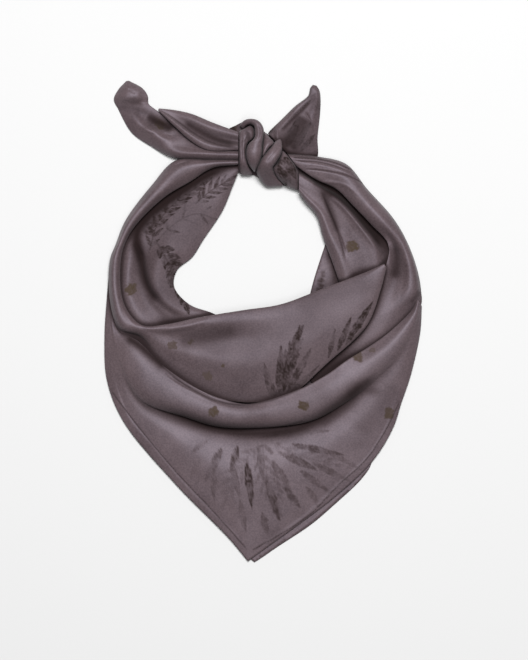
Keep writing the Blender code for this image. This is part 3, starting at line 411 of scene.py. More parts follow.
FOLDS = {
    "left_tail": (
        Fold(((-101.1, 173.7), (-98.4, 172.2), (-95.3, 169.7)), 0.7, -0.5),
        Fold(((-110.1, 163.3), (-102.6, 164.1), (-94.3, 162.9), (-87.6, 160.7)), 2.2, -0.8),
        Fold(((-91.3, 144.9), (-84.6, 142.7), (-75.6, 141.9), (-61.3, 142.7)), 1.8, 1.3),
        Fold(((-87.6, 147.9), (-78.6, 147.2), (-65.1, 144.9)), 2.4, -1.2),
        Fold(((-90.6, 171.9), (-89.8, 167.4), (-90.6, 162.9)), 2.2, -0.9),
        Fold(((-110.1, 158.4), (-99.6, 158.4), (-89.1, 155.4), (-78.6, 150.2)), 3.4, -1.4),
    ),
    "left_tail_flap": (
        Fold(((-72.6, 156.2), (-63.6, 149.4), (-48.6, 138.6), (-35.1, 132.2), (-18.6, 129.2)), 1.0, -1.0),
    ),
    "collar_roll": (
        Fold(((-67.3, 115.3), (-60.6, 117.9), (-52.3, 120.2)), 1.1, -1.0),
        Fold(((-77.1, -7.3), (-57.6, -3.9), (-38.1, 2.1)), 1.8, 0.9),
        Fold(((-77.1, -16.3), (-60.6, -14.8), (-44.1, -9.6), (-23.1, -5.1)), 4.2, -0.8),
        Fold(((-105.6, 44.4), (-105.6, 23.4), (-102.6, 6.9), (-93.6, -5.1)), 1.2, 0.6),
    ),
    "front_leaf": (
        Fold(((-77.1, -33.6), (-69.6, -40.3), (-59.8, -47.4), (-45.9, -53.8), (-36.6, -58.8), (-20.1, -63.2),
            (-0.6, -62.1)), 0.8, -1.5),
        Fold(((-77.1, -37.3), (-66.6, -44.8), (-54.6, -51.6), (-41.1, -57.6), (-27.6, -62.4)), 1.1, 0.6),
        Fold(((9.9, -79.7), (20.4, -77.4), (32.4, -74.2)), 0.7, -1.2),
        Fold(((86.4, -41.8), (93.9, -49.3), (100.7, -53.8)), 0.5, 0.25),
        Fold(((89.4, -49.3), (95.4, -55.3), (101.4, -59.8)), 0.5, 0.2),
        Fold(((-116.4, -29.1), (-114.3, -43), (-102.6, -73.3), (-83.1, -96.6), (-64.1, -120),
            (-41.1, -143.8), (-23.6, -161.1), (-10.7, -176.1)), 3.3, 0.4, 4),
        Fold(((-10.3, -177.3), (9.2, -164.8), (32.4, -148.3), (55.1, -127.9), (81.6, -102.3), (95.7, -78.6),
            (102, -59.8), (108.5, -41.1)), 3.3, 0.4, 4),
    ),
    "left_inner_band": (
        Fold(((-94.3, 58.7), (-91.3, 49.7), (-89.1, 32.4), (-81.6, 18.9), (-69.6, 7.7), (-54.6, 0.9)), 2.6,
            -1.4),
        Fold(((-97.3, 60.9), (-92.8, 53.4), (-90.6, 47.4)), 1.4, -1.2),
    ),
    "right_inner_band": (
        Fold(((43.7, 96.2), (48.9, 83.4), (55.7, 67.7), (60.2, 55.7), (62.4, 44.4)), 0.8, -1.3),
        Fold(((81.9, 62.4), (87.2, 54.9), (90.9, 47.4)), 1.6, -0.9),
        Fold(((47.4, 95.4), (58.7, 86.4), (68.4, 75.9), (76.7, 65.4), (84.9, 54.2), (89.4, 47.4)), 1.5, 1.1),
    ),
    "right_outer_band": (
        Fold(((21.2, 120.5), (30.2, 119.4), (39.9, 119.1), (52.7, 116.3), (65.4, 111.2)), 0.6, -0.9),
        Fold(((27.9, 117.2), (41.4, 116.4), (56.4, 113.1), (69.9, 107.4)), 1.0, 0.4),
        Fold(((29.4, 113.7), (43.2, 112.7), (62.1, 108.9), (72.9, 104), (81.2, 98.4)), 0.6, -0.9),
        Fold(((41.4, 103.7), (51.9, 103.7), (61.7, 101.4), (71.4, 93.9)), 1.2, 0.5),
        Fold(((96.9, 58.7), (99.9, 44.4), (98.4, 29.4)), 3.4, -1.4),
    ),
    "right_tail": (
        Fold(((30.9, 157.7), (34.7, 151.7), (39.6, 143.4)), 0.7, -0.9),
        Fold(((10.4, 144.2), (11, 140.4), (11.4, 135.2)), 0.7, 0.9),
        Fold(((8.7, 143.4), (9.2, 139.7), (9.9, 135.2)), 0.7, -0.9),
        Fold(((12.9, 142.7), (21.9, 152.1), (30.2, 160.3), (36.2, 165.9)), 0.7, -0.7),
    ),
    "knot_front_wrap": (
        Fold(((11.1, 134), (5.4, 128), (0.6, 122)), 0.6, 0.5),
        Fold(((13.2, 130.2), (7.7, 123.6), (2.4, 117.2)), 0.6, -0.7),
        Fold(((6.9, 131.4), (-0.6, 122.4), (-3.6, 113.4)), 1.2, 0.5),
    ),
    "knot_left_roll": (
        Fold(((-15.2, 142.7), (-15.7, 132.2), (-15.2, 117.2)), 0.7, -0.8),
        Fold(((-13.7, 141.2), (-9.6, 138.2), (-9.3, 134.4)), 0.8, -1.0),
    ),
    "knot_loop": (
        Fold(((-4.3, 147.6), (-1.8, 142.7), (-2.4, 136.7), (-6.6, 131.4)), 0.6, -0.7),
    ),
    "knot_print_fold": (
        Fold(((12.6, 118.7), (17.4, 112.7), (21.9, 105.9)), 0.7, -0.6),
    ),
}

# Shade painted along creases, under rolls and lips and in the valleys between folds, and a broad, light
# darkening over some stretches, for each piece
SHADE_LINES = {
    "left_inner_band": (
        ShadeLine(((-23.1, 115.7), (-36.6, 111.2), (-52.3, 102.9), (-71.8, 90.2), (-86.1, 78.9), (-93.6, 67.7),
            (-94.3, 56.4), (-91.3, 47.4)), 4.0, 1.0),
        ShadeLine(((-94.3, 60.9), (-92.8, 51.9), (-89.8, 39.9), (-85.3, 24.9), (-77.1, 12.9)), 4.0, 0.9),
        ShadeLine(((-35.8, 98.4), (-62.1, 74.4), (-75.6, 49.7), (-73.3, 27.2), (-47.1, 6.9)), 20.0, 0.24),
        ShadeLine(((-94.3, 62.4), (-92.8, 53.4), (-90.6, 44.4)), 2.6, 0.75),
        ShadeLine(((-95.8, 59.4), (-93.6, 54.2), (-90.6, 48.2)), 2.6, 0.9),
        ShadeLine(((-54.6, 101.4), (-73.3, 88.7), (-87.6, 77.4), (-94.3, 66.9)), 2.2, 0.7),
    ),
    "collar_roll": (
        ShadeLine(((-65.1, -15.6), (-43.3, -12.6), (-17.1, -5.1)), 5.4, 0.5),
        ShadeLine(((20.4, 15.9), (50.4, 21.9), (74.4, 26.4), (80.4, 15.9)), 11.0, 0.2),
        ShadeLine(((-54.6, -23.1), (-17.1, -23.1), (27.9, -10.3), (61.7, 12.2)), 26.0, 0.15),
    ),
    "front_leaf": (
        ShadeLine(((-84.6, -62.1), (-69.6, -68.1), (-54.6, -73.3), (-32.1, -80.1), (-5.8, -83.8), (20.4, -81.6),
            (39.9, -74.1), (58.7, -60.6), (74.4, -47.8), (90.9, -39.6)), 5.4, 0.8),
        ShadeLine(((-104.1, -11.1), (-93.6, -17.1), (-84.6, -24.6), (-71.1, -35.8)), 3.4, 0.9),
        ShadeLine(((-84.6, -24.6), (-72.6, -35.8), (-58.3, -47.1), (-35.8, -59.1), (-9.6, -62.1), (27.9, -50.1),
            (50.4, -33.6), (74.4, -15.6)), 1.0, 0.6),
        ShadeLine(((9.9, -79.7), (20.4, -77.4), (32.4, -74.2)), 0.7, 0.5),
        ShadeLine(((69.9, -86.1), (89.4, -65.1), (99.9, -44.1)), 9.0, 0.22),
        ShadeLine(((90.9, -53.1), (74.4, -52.3), (59.4, -66.6), (39.9, -80.1)), 4.0, 0.4),
        ShadeLine(((81.9, -42.6), (72.9, -48.6), (62.4, -57.6)), 3.0, 0.5),
        ShadeLine(((-59.1, -74.1), (-32.1, -81.6), (-5.1, -84.6), (21.9, -82.3), (41.4, -74.8)), 2.6, 0.5),
        ShadeLine(((-20.8, -66.6), (-2.1, -69.6), (27.9, -62.8), (54.2, -48.6)), 7.0, 0.14),
    ),
    "right_inner_band": (
        ShadeLine(((42.9, 102.2), (54.2, 95.4), (65.4, 86.4), (75.2, 75.2), (83.4, 65.4), (90.2, 56.4)), 3.4,
            1.0),
        ShadeLine(((42.9, 98.4), (49.7, 83.4), (55.7, 67.7), (61.7, 44.4)), 0.7, 0.5),
        ShadeLine(((45.9, 99.9), (57.2, 92.4), (66.9, 83.4), (75.2, 73.7), (83.4, 63.2), (90.9, 52.7)), 2.2, 1.0),
        ShadeLine(((43.7, 99.2), (47.4, 90.2), (51.9, 78.9), (56.4, 65.4)), 3.0, 0.7),
        ShadeLine(((36.9, 104.4), (44.4, 99.9), (53.4, 92.4)), 2.4, 0.7),
        ShadeLine(((66.9, 86.4), (75.9, 76.7), (84.2, 66.9)), 1.6, 0.8),
    ),
    "right_outer_band": (
        ShadeLine(((98.4, 56.4), (100.7, 44.4), (98.4, 30.9)), 4.5, 0.4),
        ShadeLine(((117.9, 22.7), (110.4, 13.7)), 2.4, 0.5),
        ShadeLine(((21.2, 120.5), (30.2, 119.4), (39.9, 119.1), (52.7, 116.3), (65.4, 111.2)), 0.5, 0.6),
        ShadeLine(((29.4, 113.7), (43.2, 112.7), (62.1, 108.9), (72.9, 104), (81.2, 98.4)), 0.5, 0.6),
        ShadeLine(((35.4, 107.4), (44.4, 102.2), (54.9, 97.7)), 2.6, 0.8),
    ),
    "left_tail": (
        ShadeLine(((-87.6, 153.9), (-77.1, 148.7), (-66.6, 142.7)), 3.8, 0.8),
        ShadeLine(((-113.1, 159.9), (-101.1, 158.4), (-90.6, 156.9)), 4.0, 0.35),
        ShadeLine(((-84.6, 151.7), (-76.3, 147.9), (-68.1, 144.9)), 3.0, 0.5),
    ),
    "left_tail_flap": (
        ShadeLine(((-71.1, 154.7), (-63.6, 149.4), (-48.6, 138.6), (-35.1, 132.2), (-18.6, 129.2)), 0.8, 0.5),
        ShadeLine(((-60.6, 150.2), (-44.1, 140.4), (-32.1, 135.2), (-18.6, 131.4)), 3.2, 0.8),
    ),
    "right_tail": (
        ShadeLine(((12.9, 141.2), (21.9, 150.6), (30.2, 158.8), (36.9, 165.9)), 1.2, 0.7),
        ShadeLine(((15.9, 131.4), (26.4, 143.4), (32.4, 153.9)), 8.5, 0.75),
        ShadeLine(((20.4, 126.9), (30.9, 131.4), (39.9, 135.9)), 6.0, 0.4),
        ShadeLine(((36.2, 170.4), (39.9, 164.4), (40.7, 156.9)), 4.0, 0.35),
    ),
    "knot_core": (
        ShadeLine(((-26.1, 142.7), (-20.1, 144.9)), 3.0, 0.7),
    ),
    "knot_left_roll": (
        ShadeLine(((-13.3, 141.9), (-10.3, 138.9), (-10.3, 135.2)), 1.8, 0.5),
    ),
    "under_leaf": (
        ShadeLine(((48.9, 53.4), (54.2, 38.4), (56.4, 23.4)), 3.0, 0.8),
    ),
}

LEAVES = (
    Leaf("collar_roll", (6.9, -56.8), (0.9, -30.6), 5.2, 0.9),
    Leaf("collar_roll", (15.2, -53.1), (27.9, -2.1), 8.0, 1.0),
    Leaf("collar_roll", (12.2, -54.6), (13.7, -17.1), 6.2, 0.95),
    Leaf("collar_roll", (18.2, -53.1), (36.9, -18.6), 5.4, 0.85),
    Leaf("collar_roll", (19.7, -54.6), (42.9, -32.1), 4.0, 0.7),
    Leaf("collar_roll", (48.9, -27.6), (54.2, -5.1), 3.8, 0.85),
    Leaf("collar_roll", (55.7, -22.3), (66.2, 3.9), 4.6, 0.95),
    Leaf("collar_roll", (61.7, -17.8), (82.7, 15.9), 5.6, 1.0),
    Leaf("collar_roll", (65.4, -15.6), (84.9, 2.4), 3.6, 0.8),
    Leaf("knot_print_fold", (12.2, 120.9), (21.2, 102.9), 8.0, 1.0),
    Leaf("knot_print_fold", (15.9, 122.4), (24.9, 105.9), 7.0, 1.0),
    Leaf("knot_print_fold", (11.4, 116.4), (18.2, 100.7), 5.0, 1.0),
    Leaf("right_tail", (17.4, 129.9), (27.9, 153.9), 7.0, 0.9),
    Leaf("right_tail", (22.7, 128.4), (36.2, 149.4), 6.0, 0.8),
    Leaf("right_tail", (27.9, 126.9), (39.2, 140.4), 4.0, 0.7),
    Leaf("right_tail", (12.2, 129.9), (21.9, 144.9), 4.0, 0.7),
    Leaf("under_leaf", (41.4, 15.9), (45.9, 41.4), 5.0, 0.8),
    Leaf("knot_left_roll", (-12.6, 122.4), (-11.1, 140.4), 5.0, 0.6),
    Leaf("front_leaf", (-30.6, -95.1), (-43.3, -120.6), 6.0, 0.55),
    Leaf("front_leaf", (-18.6, -93.6), (-23.8, -111.6), 5.0, 0.7),
    Leaf("front_leaf", (-23.8, -105.6), (-17.1, -132.6), 5.4, 0.5),
    Leaf("front_leaf", (-11.8, -105.6), (-8.1, -140.1), 6.0, 0.95),
    Leaf("front_leaf", (-3.6, -93.6), (0.9, -120.6), 5.0, 0.4),
    Leaf("front_leaf", (2.4, -116.1), (12.9, -150.6), 6.4, 0.75),
    Leaf("front_leaf", (6.9, -104.1), (21.9, -128.1), 6.0, 0.5),
    Leaf("front_leaf", (15.9, -123.6), (28.7, -140.1), 5.0, 0.6),
    Leaf("front_leaf", (12.9, -98.1), (41.4, -111.6), 5.4, 0.55),
    Leaf("front_leaf", (27.9, -111.6), (50.4, -128.1), 5.0, 0.45),
    Leaf("front_leaf", (21.9, -92.1), (61.7, -100.3), 4.8, 0.6),
    Leaf("front_leaf", (18.9, -84.6), (51.9, -81.6), 4.0, 0.35),
    Leaf("front_leaf", (-41.1, -89.1), (-53.1, -98.1), 4.0, 0.35),
    Leaf("front_leaf", (-47.1, -102.6), (-54.6, -119.1), 4.6, 0.3),
    Leaf("front_leaf", (-0.6, -86.8), (20.4, -80.8), 3.4, 0.6),
    Leaf("front_leaf", (32.4, -123.6), (44.4, -141.6), 4.6, 0.45),
    Leaf("front_leaf", (36.9, -105.6), (66.9, -120.6), 4.8, 0.5),
    Leaf("front_leaf", (44.4, -95.1), (74.4, -111.6), 4.2, 0.35),
    Leaf("front_leaf", (-17.1, -134.1), (-12.6, -158.1), 5.0, 0.4),
    Leaf("front_leaf", (-0.6, -143.1), (3.9, -161.1), 5.0, 0.5),
    Leaf("front_leaf", (-36.6, -111.6), (-36.6, -134.1), 4.4, 0.45),
)

SPRAYS = (
    Spray("collar_roll", ((6.9, -59.8), (15.9, -38.1), (25.7, -14.1)), 6, 13.0, 3.6, 30, 0.8),
    Spray("front_leaf", ((-0.6, -89.1), (2.4, -111.6), (9.9, -134.1)), 6, 15.0, 3.2, 42, 0.3),
    Spray("front_leaf", ((-3.6, -92.1), (-17.1, -110.1), (-26.1, -129.6)), 5, 13.0, 3.0, 40, 0.26),
    Spray("front_leaf", ((3.9, -89.1), (29.4, -101.1), (53.4, -107.1)), 5, 13.0, 3.0, 38, 0.28),
    Spray("left_inner_band", ((-84.6, 53.4), (-78.6, 72.9), (-65.1, 89.4), (-47.1, 101.4)), 9, 12.0, 3.2, 38,
        0.95),
    Spray("left_inner_band", ((-77.1, 62.4), (-63.6, 74.4), (-49.3, 80.4), (-35.8, 76.7)), 3, 11.0, 2.4, 60,
        0.6),
    Spray("left_inner_band", ((-78.6, 57.9), (-71.1, 44.4), (-63.6, 27.9), (-59.1, 15.9)), 7, 12.0, 4.0, 28,
        1.0),
    Spray("left_inner_band", ((-50.1, 87.9), (-39.6, 96.9), (-27.6, 104.4)), 5, 10.0, 2.8, 44, 0.75),
    Spray("left_inner_band", ((-74.1, 56.4), (-68.1, 44.4), (-65.1, 27.9)), 6, 10.0, 4.6, 50, 0.85),
    Spray("left_inner_band", ((-87.6, 63.9), (-83.1, 75.9), (-74.1, 86.4)), 6, 9.0, 3.6, 46, 0.8),
)

SPOTS = (
    Spot("front_leaf", (30.2, -62.8), 9.6, 1.0),
    Spot("front_leaf", (-36.6, -67.3), 9.1, 0.9),
    Spot("front_leaf", (94.7, -68.8), 10.1, 0.9),
    Spot("front_leaf", (70.7, -26.1), 9.6, 0.84),
    Spot("front_leaf", (81.9, -21.6), 5.5, 0.56),
    Spot("right_inner_band", (66.9, 56.4), 10.3, 1.0),
    Spot("left_inner_band", (-98.8, 24.2), 10.8, 1.0),
    Spot("collar_roll", (-41.1, -41.1), 8.4, 0.67),
    Spot("left_tail", (-77.1, 147.9), 9.6, 1.0),
    Spot("collar_roll", (-67.3, -17.8), 7.9, 0.67),
    Spot("collar_roll", (-53.8, -15.6), 4.6, 0.78),
    Spot("collar_roll", (-29.8, -33.2), 3.4, 1.0),
    Spot("right_outer_band", (78.2, 7.7), 9.6, 0.67),
    Spot("knot_core", (-23.1, 144.2), 8.4, 0.9),
)

# The hems: stitches are sewn along them, and shade is painted along their creases
SEAMS = (
    Seam("front_leaf", ((-112.6, -53.1), (-101.4, -68.1), (-84.6, -89.4), (-62.1, -115.7), (-38.8, -140.4),
        (-11.8, -170.8)), 2.4),
    Seam("front_leaf", ((-7.7, -171.2), (10.7, -161.1), (35.4, -144.6), (56.4, -123.2), (77.4, -103.7),
        (92.4, -80.8), (102.2, -60.6)), 2.4),
    Seam("right_outer_band", ((23.4, 122.1), (39.9, 121.2), (53.4, 118.4), (66.2, 113.1)), 2.4),
    Seam("right_tail", ((14.1, 143.8), (23.1, 153.2), (31.3, 161.4), (36.2, 165.9)), 2.4),
)

SHEETS = (
    FRONT_LEAF, COLLAR_ROLL, LEFT_INNER_BAND, RIGHT_INNER_BAND, RIGHT_OUTER_BAND,
    LEFT_TAIL, LEFT_TAIL_FLAP, RIGHT_TAIL,
)
WRAPS = (KNOT_CORE, KNOT_LEFT_ROLL, KNOT_LOOP, KNOT_BACK_FOLD, KNOT_FRONT_WRAP, KNOT_PRINT_FOLD)
HEIGHT_MAPS = []

# How far below the fine and the broad folds round it a point is when painted shade starts there, how
# much deeper it is where the painted shade is darkest, and how dark that is
HOLLOW_SHADES = (HollowShade(0.0002, 0.0026, 0.6), HollowShade(0.0003, 0.0052, 0.85))

# How strongly shade is painted below the folds round a piece; a piece that isn't named takes all of it
HOLLOW_SHADE_SHARES = {cloth.name: 0.5 for cloth in WRAPS}
HOLLOW_SHADE_SHARES.update(under_leaf=0.35, left_tail=0.45, left_tail_flap=0.12)


def plan(share):
    """A guide point's place over the table, in metres."""
    return np.array((share[0] * WIDTH, share[1] * LENGTH, 0.0))


def millimetres(points):
    """Points of the fold and print tables, in metres."""
    return np.array(points, dtype=float) * MILLIMETRE


def blend(first, second, start, end, t):
    """The straight blend of two rows of points over the span from start to end."""
    share = ((t - start) / (end - start))[..., None]
    return first * (1.0 - share) + second * share


def smooth_lines(points, counts, corners=()):
    """Centripetal Catmull-Rom lines through rows of points, with a count of steps for each stretch."""
    last = len(points) - 1
    lines = []
    for index in range(last):
        start = points[index]
        end = points[index + 1]
        before = 2.0 * start - end
        if index > 0 and index not in corners:
            before = points[index - 1]
        after = 2.0 * end - start
        if index + 1 < last and index + 1 not in corners:
            after = points[index + 2]
        knots = [np.zeros(len(start))]
        for a, b in ((before, start), (start, end), (end, after)):
            knots.append(knots[-1] + np.sqrt(np.maximum(np.linalg.norm(b - a, axis=1), 1e-7)))
        for step in range(counts[index]):
            t = knots[1] + (knots[2] - knots[1]) * step / counts[index]
            middle = blend(start, end, knots[1], knots[2], t)
            low = blend(blend(before, start, knots[0], knots[1], t), middle, knots[0], knots[2], t)
            high = blend(middle, blend(end, after, knots[2], knots[3], t), knots[1], knots[3], t)
            lines.append(blend(low, high, knots[1], knots[2], t))
    lines.append(points[last])
    return np.array(lines)


def step_counts(points, pitch):
    """How many steps of about this pitch each stretch between two rows of points needs."""
    spans = np.linalg.norm(np.diff(points, axis=0), axis=2).mean(axis=1)
    return [max(1, math.ceil(span / pitch)) for span in spans]


def smooth_path(points, pitch=LINE_PITCH):
    """One smooth line through points of a fold or print table, with points this far apart."""
    control = millimetres(points)[:, None, :]
    return smooth_lines(control, step_counts(control, pitch))[:, 0, :]


def across(guides, at):
    """The point at this place along the chain of guide points."""
    index = min(int(at), len(guides) - 2)
    return guides[index] + (guides[index + 1] - guides[index]) * (at - index)


def unit(vector):
    """The vector at a length of one."""
    return vector / max(np.linalg.norm(vector), 1e-9)


def section(cloth, line):
    """The points of one section of a sheet, from its near guide to its far one."""
    guides = [plan(share) for share in line.guides]
    turns = {
        NEAR_TURN: (guides[0], guides[1], -line.near),
        FAR_TURN: (guides[-1], guides[-2], -line.far),
        UNDER_TURN: (guides[1], guides[-1], line.under),
    }
    rest = cloth.layer * (CLOTH + GAP) + CLOTH / 2.0
    points = []
    for at, lift in zip(cloth.columns.values(), line.lifts):
        if at in turns:
            start, towards, turn = turns[at]
            point = start + unit(towards - start) * turn * WIDTH
        else:
            point = across(guides, at)
        point[2] = rest + lift * FOLD_HEIGHT
        points.append(point)
    return points


def rounded_section(line):
    """The points of one section of a knot wrap, from its left foot to its right one."""
    guides = [plan(share) for share in line.guides]
    points = [across(guides, at) for at in WRAP_COLUMNS.values()]
    for point, lift in zip(points, line.lifts):
        point[2] = lift * FOLD_HEIGHT
    return points


def tucked_end(first, second):
    """The last section of a knot wrap, drawn together and tucked down."""
    middle = first.mean(axis=0)
    foot = np.array((middle[0], middle[1], first[0, 2]))
    onward = (middle - second.mean(axis=0)) * np.array((END_REACH, END_REACH, 0.0))
    return foot + onward + (first - middle) * END_WIDTH


def cloth_surface(cloth, pitch):
    """The smooth grid of points through all the sections of a sheet or a knot wrap."""
    corners = []
    if isinstance(cloth, Wrap):
        sections = np.array([rounded_section(line) for line in cloth.rows])
        ends = [tucked_end(sections[0], sections[1]), tucked_end(sections[-1], sections[-2])]
        sections = np.concatenate((ends[:1], sections, ends[1:]))
    else:
        sections = np.array([section(cloth, line) for line in cloth.rows])
        corners = [index for index, line in enumerate(cloth.rows) if line.corner]
    counts = step_counts(sections, pitch)
    rails = smooth_lines(sections, counts)
    if corners:
        rails[:, -1] = smooth_lines(sections[:, -1:], counts, corners)[:, 0]
    rails = rails.transpose(1, 0, 2)
    return smooth_lines(rails, step_counts(rails, pitch)).transpose(1, 0, 2)


def fine_pitch(cloth):
    """The size of a piece's small faces, kept so that a wide piece has no more than its share of them."""
    grid = cloth_surface(cloth, COARSE_PITCH)
    run, width = (
        np.linalg.norm(np.diff(grid, axis=axis), axis=2).mean() * (grid.shape[axis] - 1) for axis in (0, 1))
    return max(bpy.context.scene.silk.pitch, math.sqrt(run * width / MOST_FACES))


def upward(grid):
    """How far each point of a grid faces up, from 0 to 1."""
    normal = np.cross(np.gradient(grid, axis=0), np.gradient(grid, axis=1))
    normal /= np.maximum(np.linalg.norm(normal, axis=2, keepdims=True), 1e-12)
    facing = normal[..., 2]
    if facing.mean() < 0.0:
        facing = -facing
    return np.clip(facing * FACING_GAIN, 0.0, 1.0)


def near_line(points, line):
    """Each point's distance from a line in plan, and its place along it from 0 to 1."""
    steps = np.diff(line, axis=0)
    lengths = np.linalg.norm(steps, axis=1)
    marks = np.concatenate(([0.0], np.cumsum(lengths)))
    gap = np.full(len(points), np.inf)
    place = np.zeros(len(points))
    for index, step in enumerate(steps):
        offset = points - line[index]
        t = np.clip(offset @ step / max(lengths[index] ** 2, 1e-12), 0.0, 1.0)
        away = np.hypot(offset[:, 0] - t * step[0], offset[:, 1] - t * step[1])
        closer = away < gap
        gap = np.where(closer, away, gap)
        place = np.where(closer, (marks[index] + t * lengths[index]) / marks[-1], place)
    return gap, place


def ease(value):
    """A smooth step from 0 to 1."""
    value = np.clip(value, 0.0, 1.0)
    return value * value * (3.0 - 2.0 * value)


def bell(gap, width):
    """A smooth hump, one at its middle and gone at about twice this width."""
    return np.exp(-((gap / width) ** 2))


def fade(place, ends):
    """The strength of a line along its run, which eases in and out over this share at each end."""
    return ease(np.minimum(place, 1.0 - place) / ends)


def value_noise(x, y, seed):
    """Smooth noise over the plan, from 0 to 1, with one cell to each unit."""
    table = np.random.default_rng(seed).random((NOISE_CELLS, NOISE_CELLS))
    column = np.floor(x).astype(int)
    line = np.floor(y).astype(int)
    u = ease(x - column)
    v = ease(y - line)
    low, high = (
        table[end, column % NOISE_CELLS] * (1.0 - u) + table[end, (column + 1) % NOISE_CELLS] * u
        for end in (line % NOISE_CELLS, (line + 1) % NOISE_CELLS))
    return low * (1.0 - v) + high * v


def press_folds(name, grid):
    """Press a piece's small folds, pleats, hem lines and slack into its grid."""
    flat = grid.reshape(-1, 3)
    facing = upward(grid).reshape(-1)
    lift = np.zeros(len(flat))
    for fold in FOLDS.get(name, ()):
        line = smooth_path(fold.line)
        width = fold.width * MILLIMETRE
        low = line.min(axis=0) - 3.0 * width
        high = line.max(axis=0) + 3.0 * width
        near = np.where(((flat[:, :2] > low) & (flat[:, :2] < high)).all(axis=1))[0]
        gap, place = near_line(flat[near, :2], line)
        press = np.exp(-((gap / width) ** (2 * fold.power)))
        lift[near] += press * fade(place, FOLD_FADE) * fold.lift * MILLIMETRE
    x = flat[:, 0] / SLACK_CELL
    y = flat[:, 1] / SLACK_CELL
    fine = value_noise(2.3 * x, 2.3 * y, SLACK_SEED + 1)
    slack = value_noise(x, y, SLACK_SEED) - 0.5 + 0.4 * (fine - 0.5)
    lift += slack * SLACK_HEIGHT
    height = np.maximum(flat[:, 2] + lift * facing, CLOTH / 4.0)
    grid[..., 2] = height.reshape(grid.shape[:2])


def blur(cells, reach):
    """The cells of a height map, smoothed over this many cells."""
    steps = np.arange(-3 * reach, 3 * reach + 1)
    weights = np.exp(-0.5 * (steps / reach) ** 2)
    weights /= weights.sum()
    for axis in (0, 1):
        cells = np.apply_along_axis(np.convolve, axis, cells, weights, mode="same")
    return cells


def height_maps():
    """The top of the whole folded scarf over the plan, in cells, smoothed a little and a lot."""
    if not HEIGHT_MAPS:
        cells = np.zeros(MAP_CELLS)
        for cloth in (*SHEETS, *WRAPS):
            grid = cloth_surface(cloth, MAP_PITCH / 2.0)
            press_folds(cloth.name, grid)
            flat = grid.reshape(-1, 3)
            place = np.rint(flat[:, :2] / MAP_PITCH).astype(int) + np.array(MAP_CELLS) // 2
            np.maximum.at(cells, (place[:, 0], place[:, 1]), flat[:, 2])
        HEIGHT_MAPS.extend((blur(cells, 2), blur(cells, 5)))
    return HEIGHT_MAPS


def read_map(cells, points):
    """The height of a map at each point, blended between its cells."""
    place = points / MAP_PITCH + np.array(MAP_CELLS) // 2
    low = np.floor(place).astype(int)
    u, v = (place - low).T
    i, j = low.T
    near, far = (cells[i, line] * (1.0 - u) + cells[i + 1, line] * u for line in (j, j + 1))
    return near * (1.0 - v) + far * v


def painted_hollow_shade(flat):
    """The shade painted at each point, from 0 to 1, by how deep it lies below the folds round it."""
    light = 1.0
    for cells, hollow_shade in zip(height_maps(), HOLLOW_SHADES):
        below = read_map(cells, flat[:, :2]) - flat[:, 2] - hollow_shade.start
        light = light * (1.0 - hollow_shade.tone * ease(below / hollow_shade.depth))
    return 1.0 - light


def leaf_tone(points, foot, tip, width, tone, seed):
    """The darkness that one pressed leaf leaves at each point: a ragged blade with ribs and a dark rim."""
    length = np.linalg.norm(tip - foot)
    axis = (tip - foot) / length
    offset = points - foot
    u = offset @ axis / length
    side = np.abs(offset[:, 0] * -axis[1] + offset[:, 1] * axis[0])
    x = points[:, 0] / LEAF_GRAIN
    y = points[:, 1] / LEAF_GRAIN
    grain = value_noise(x, y, seed)
    coarse = value_noise(x / 3.0, y / 3.0, seed + 1)
    teeth = value_noise(x * 0.9 + 7.0, y * 0.9, seed + 2)
    blade = np.sin(np.pi * np.clip(u, 0.0, 1.0) ** 0.8) ** 0.75
    half = 0.5 * width * blade * (0.6 + 0.4 * coarse + 0.35 * teeth)
    inside = ease((half - side) / (0.16 * width) + 0.35) * (u > 0.0) * (u < 1.0)
    ribs = 0.5 + 0.5 * np.sin((u * length + side * 1.3) / LEAF_RIB)
    outer_rim = bell(side - half, 0.14 * width)
    faded = ease((value_noise(x / 5.0, y / 5.0, seed + 3) - 0.15) / 0.5)
    midrib = bell(side, LEAF_MIDRIB)
    marks = 0.12 + 1.1 * grain * coarse + 0.3 * ribs * grain + 0.5 * outer_rim + 0.3 * midrib
    return inside * tone * np.clip(marks * (0.5 + 0.7 * faded), 0.0, 1.0)


def turned(x, y, turn):
    """A place or a direction in plan, turned by this angle."""
    return x * math.cos(turn) - y * math.sin(turn), x * math.sin(turn) + y * math.cos(turn)


def spray_leaves(spray):
    """The stem of a spray, and the foot and tip of its leaflets, on both sides and at its end."""
    stem = smooth_path(spray.stem)
    leaves = []
    for index in range(spray.leaflets):
        share = (index + 0.6) / (spray.leaflets + 0.4)
        at = int(share * (len(stem) - 1))
        foot = stem[at]
        heading = unit(stem[min(at + 1, len(stem) - 1)] - stem[max(at - 1, 0)])
        size = spray.length * MILLIMETRE * (0.65 + 0.45 * math.sin(math.pi * share))
        for side in (-1.0, 1.0):
            turn = math.radians(side * spray.spread * (1.0 - 0.35 * share))
            leaves.append((foot, foot + np.array(turned(*heading, turn)) * size))
    heading = unit(stem[-1] - stem[-3])
    leaves.append((stem[-1], stem[-1] + heading * spray.length * MILLIMETRE))
    return stem, leaves


def spot_tone(points, spot, index):
    """The darkness that one brown spot leaves at each point: a ragged patch with worn edges."""
    a, b = turned(*(points - millimetres(spot.place)).T, -0.7 * index)
    size = 0.5 * spot.size * MILLIMETRE
    x, y = points.T / SPOT_GRAIN
    coarse = value_noise(x / 2.0, y / 2.0, SPOT_SEED + index)
    grain = value_noise(x, y, SPOT_SEED + 1 + index)
    away = (np.abs(a / size) ** 3 + np.abs(b / (0.8 * size)) ** 3) ** (1.0 / 3.0)
    return ease(4.0 * (1.3 - away - 0.6 * coarse)) * spot.tone * (0.6 + 0.5 * grain)


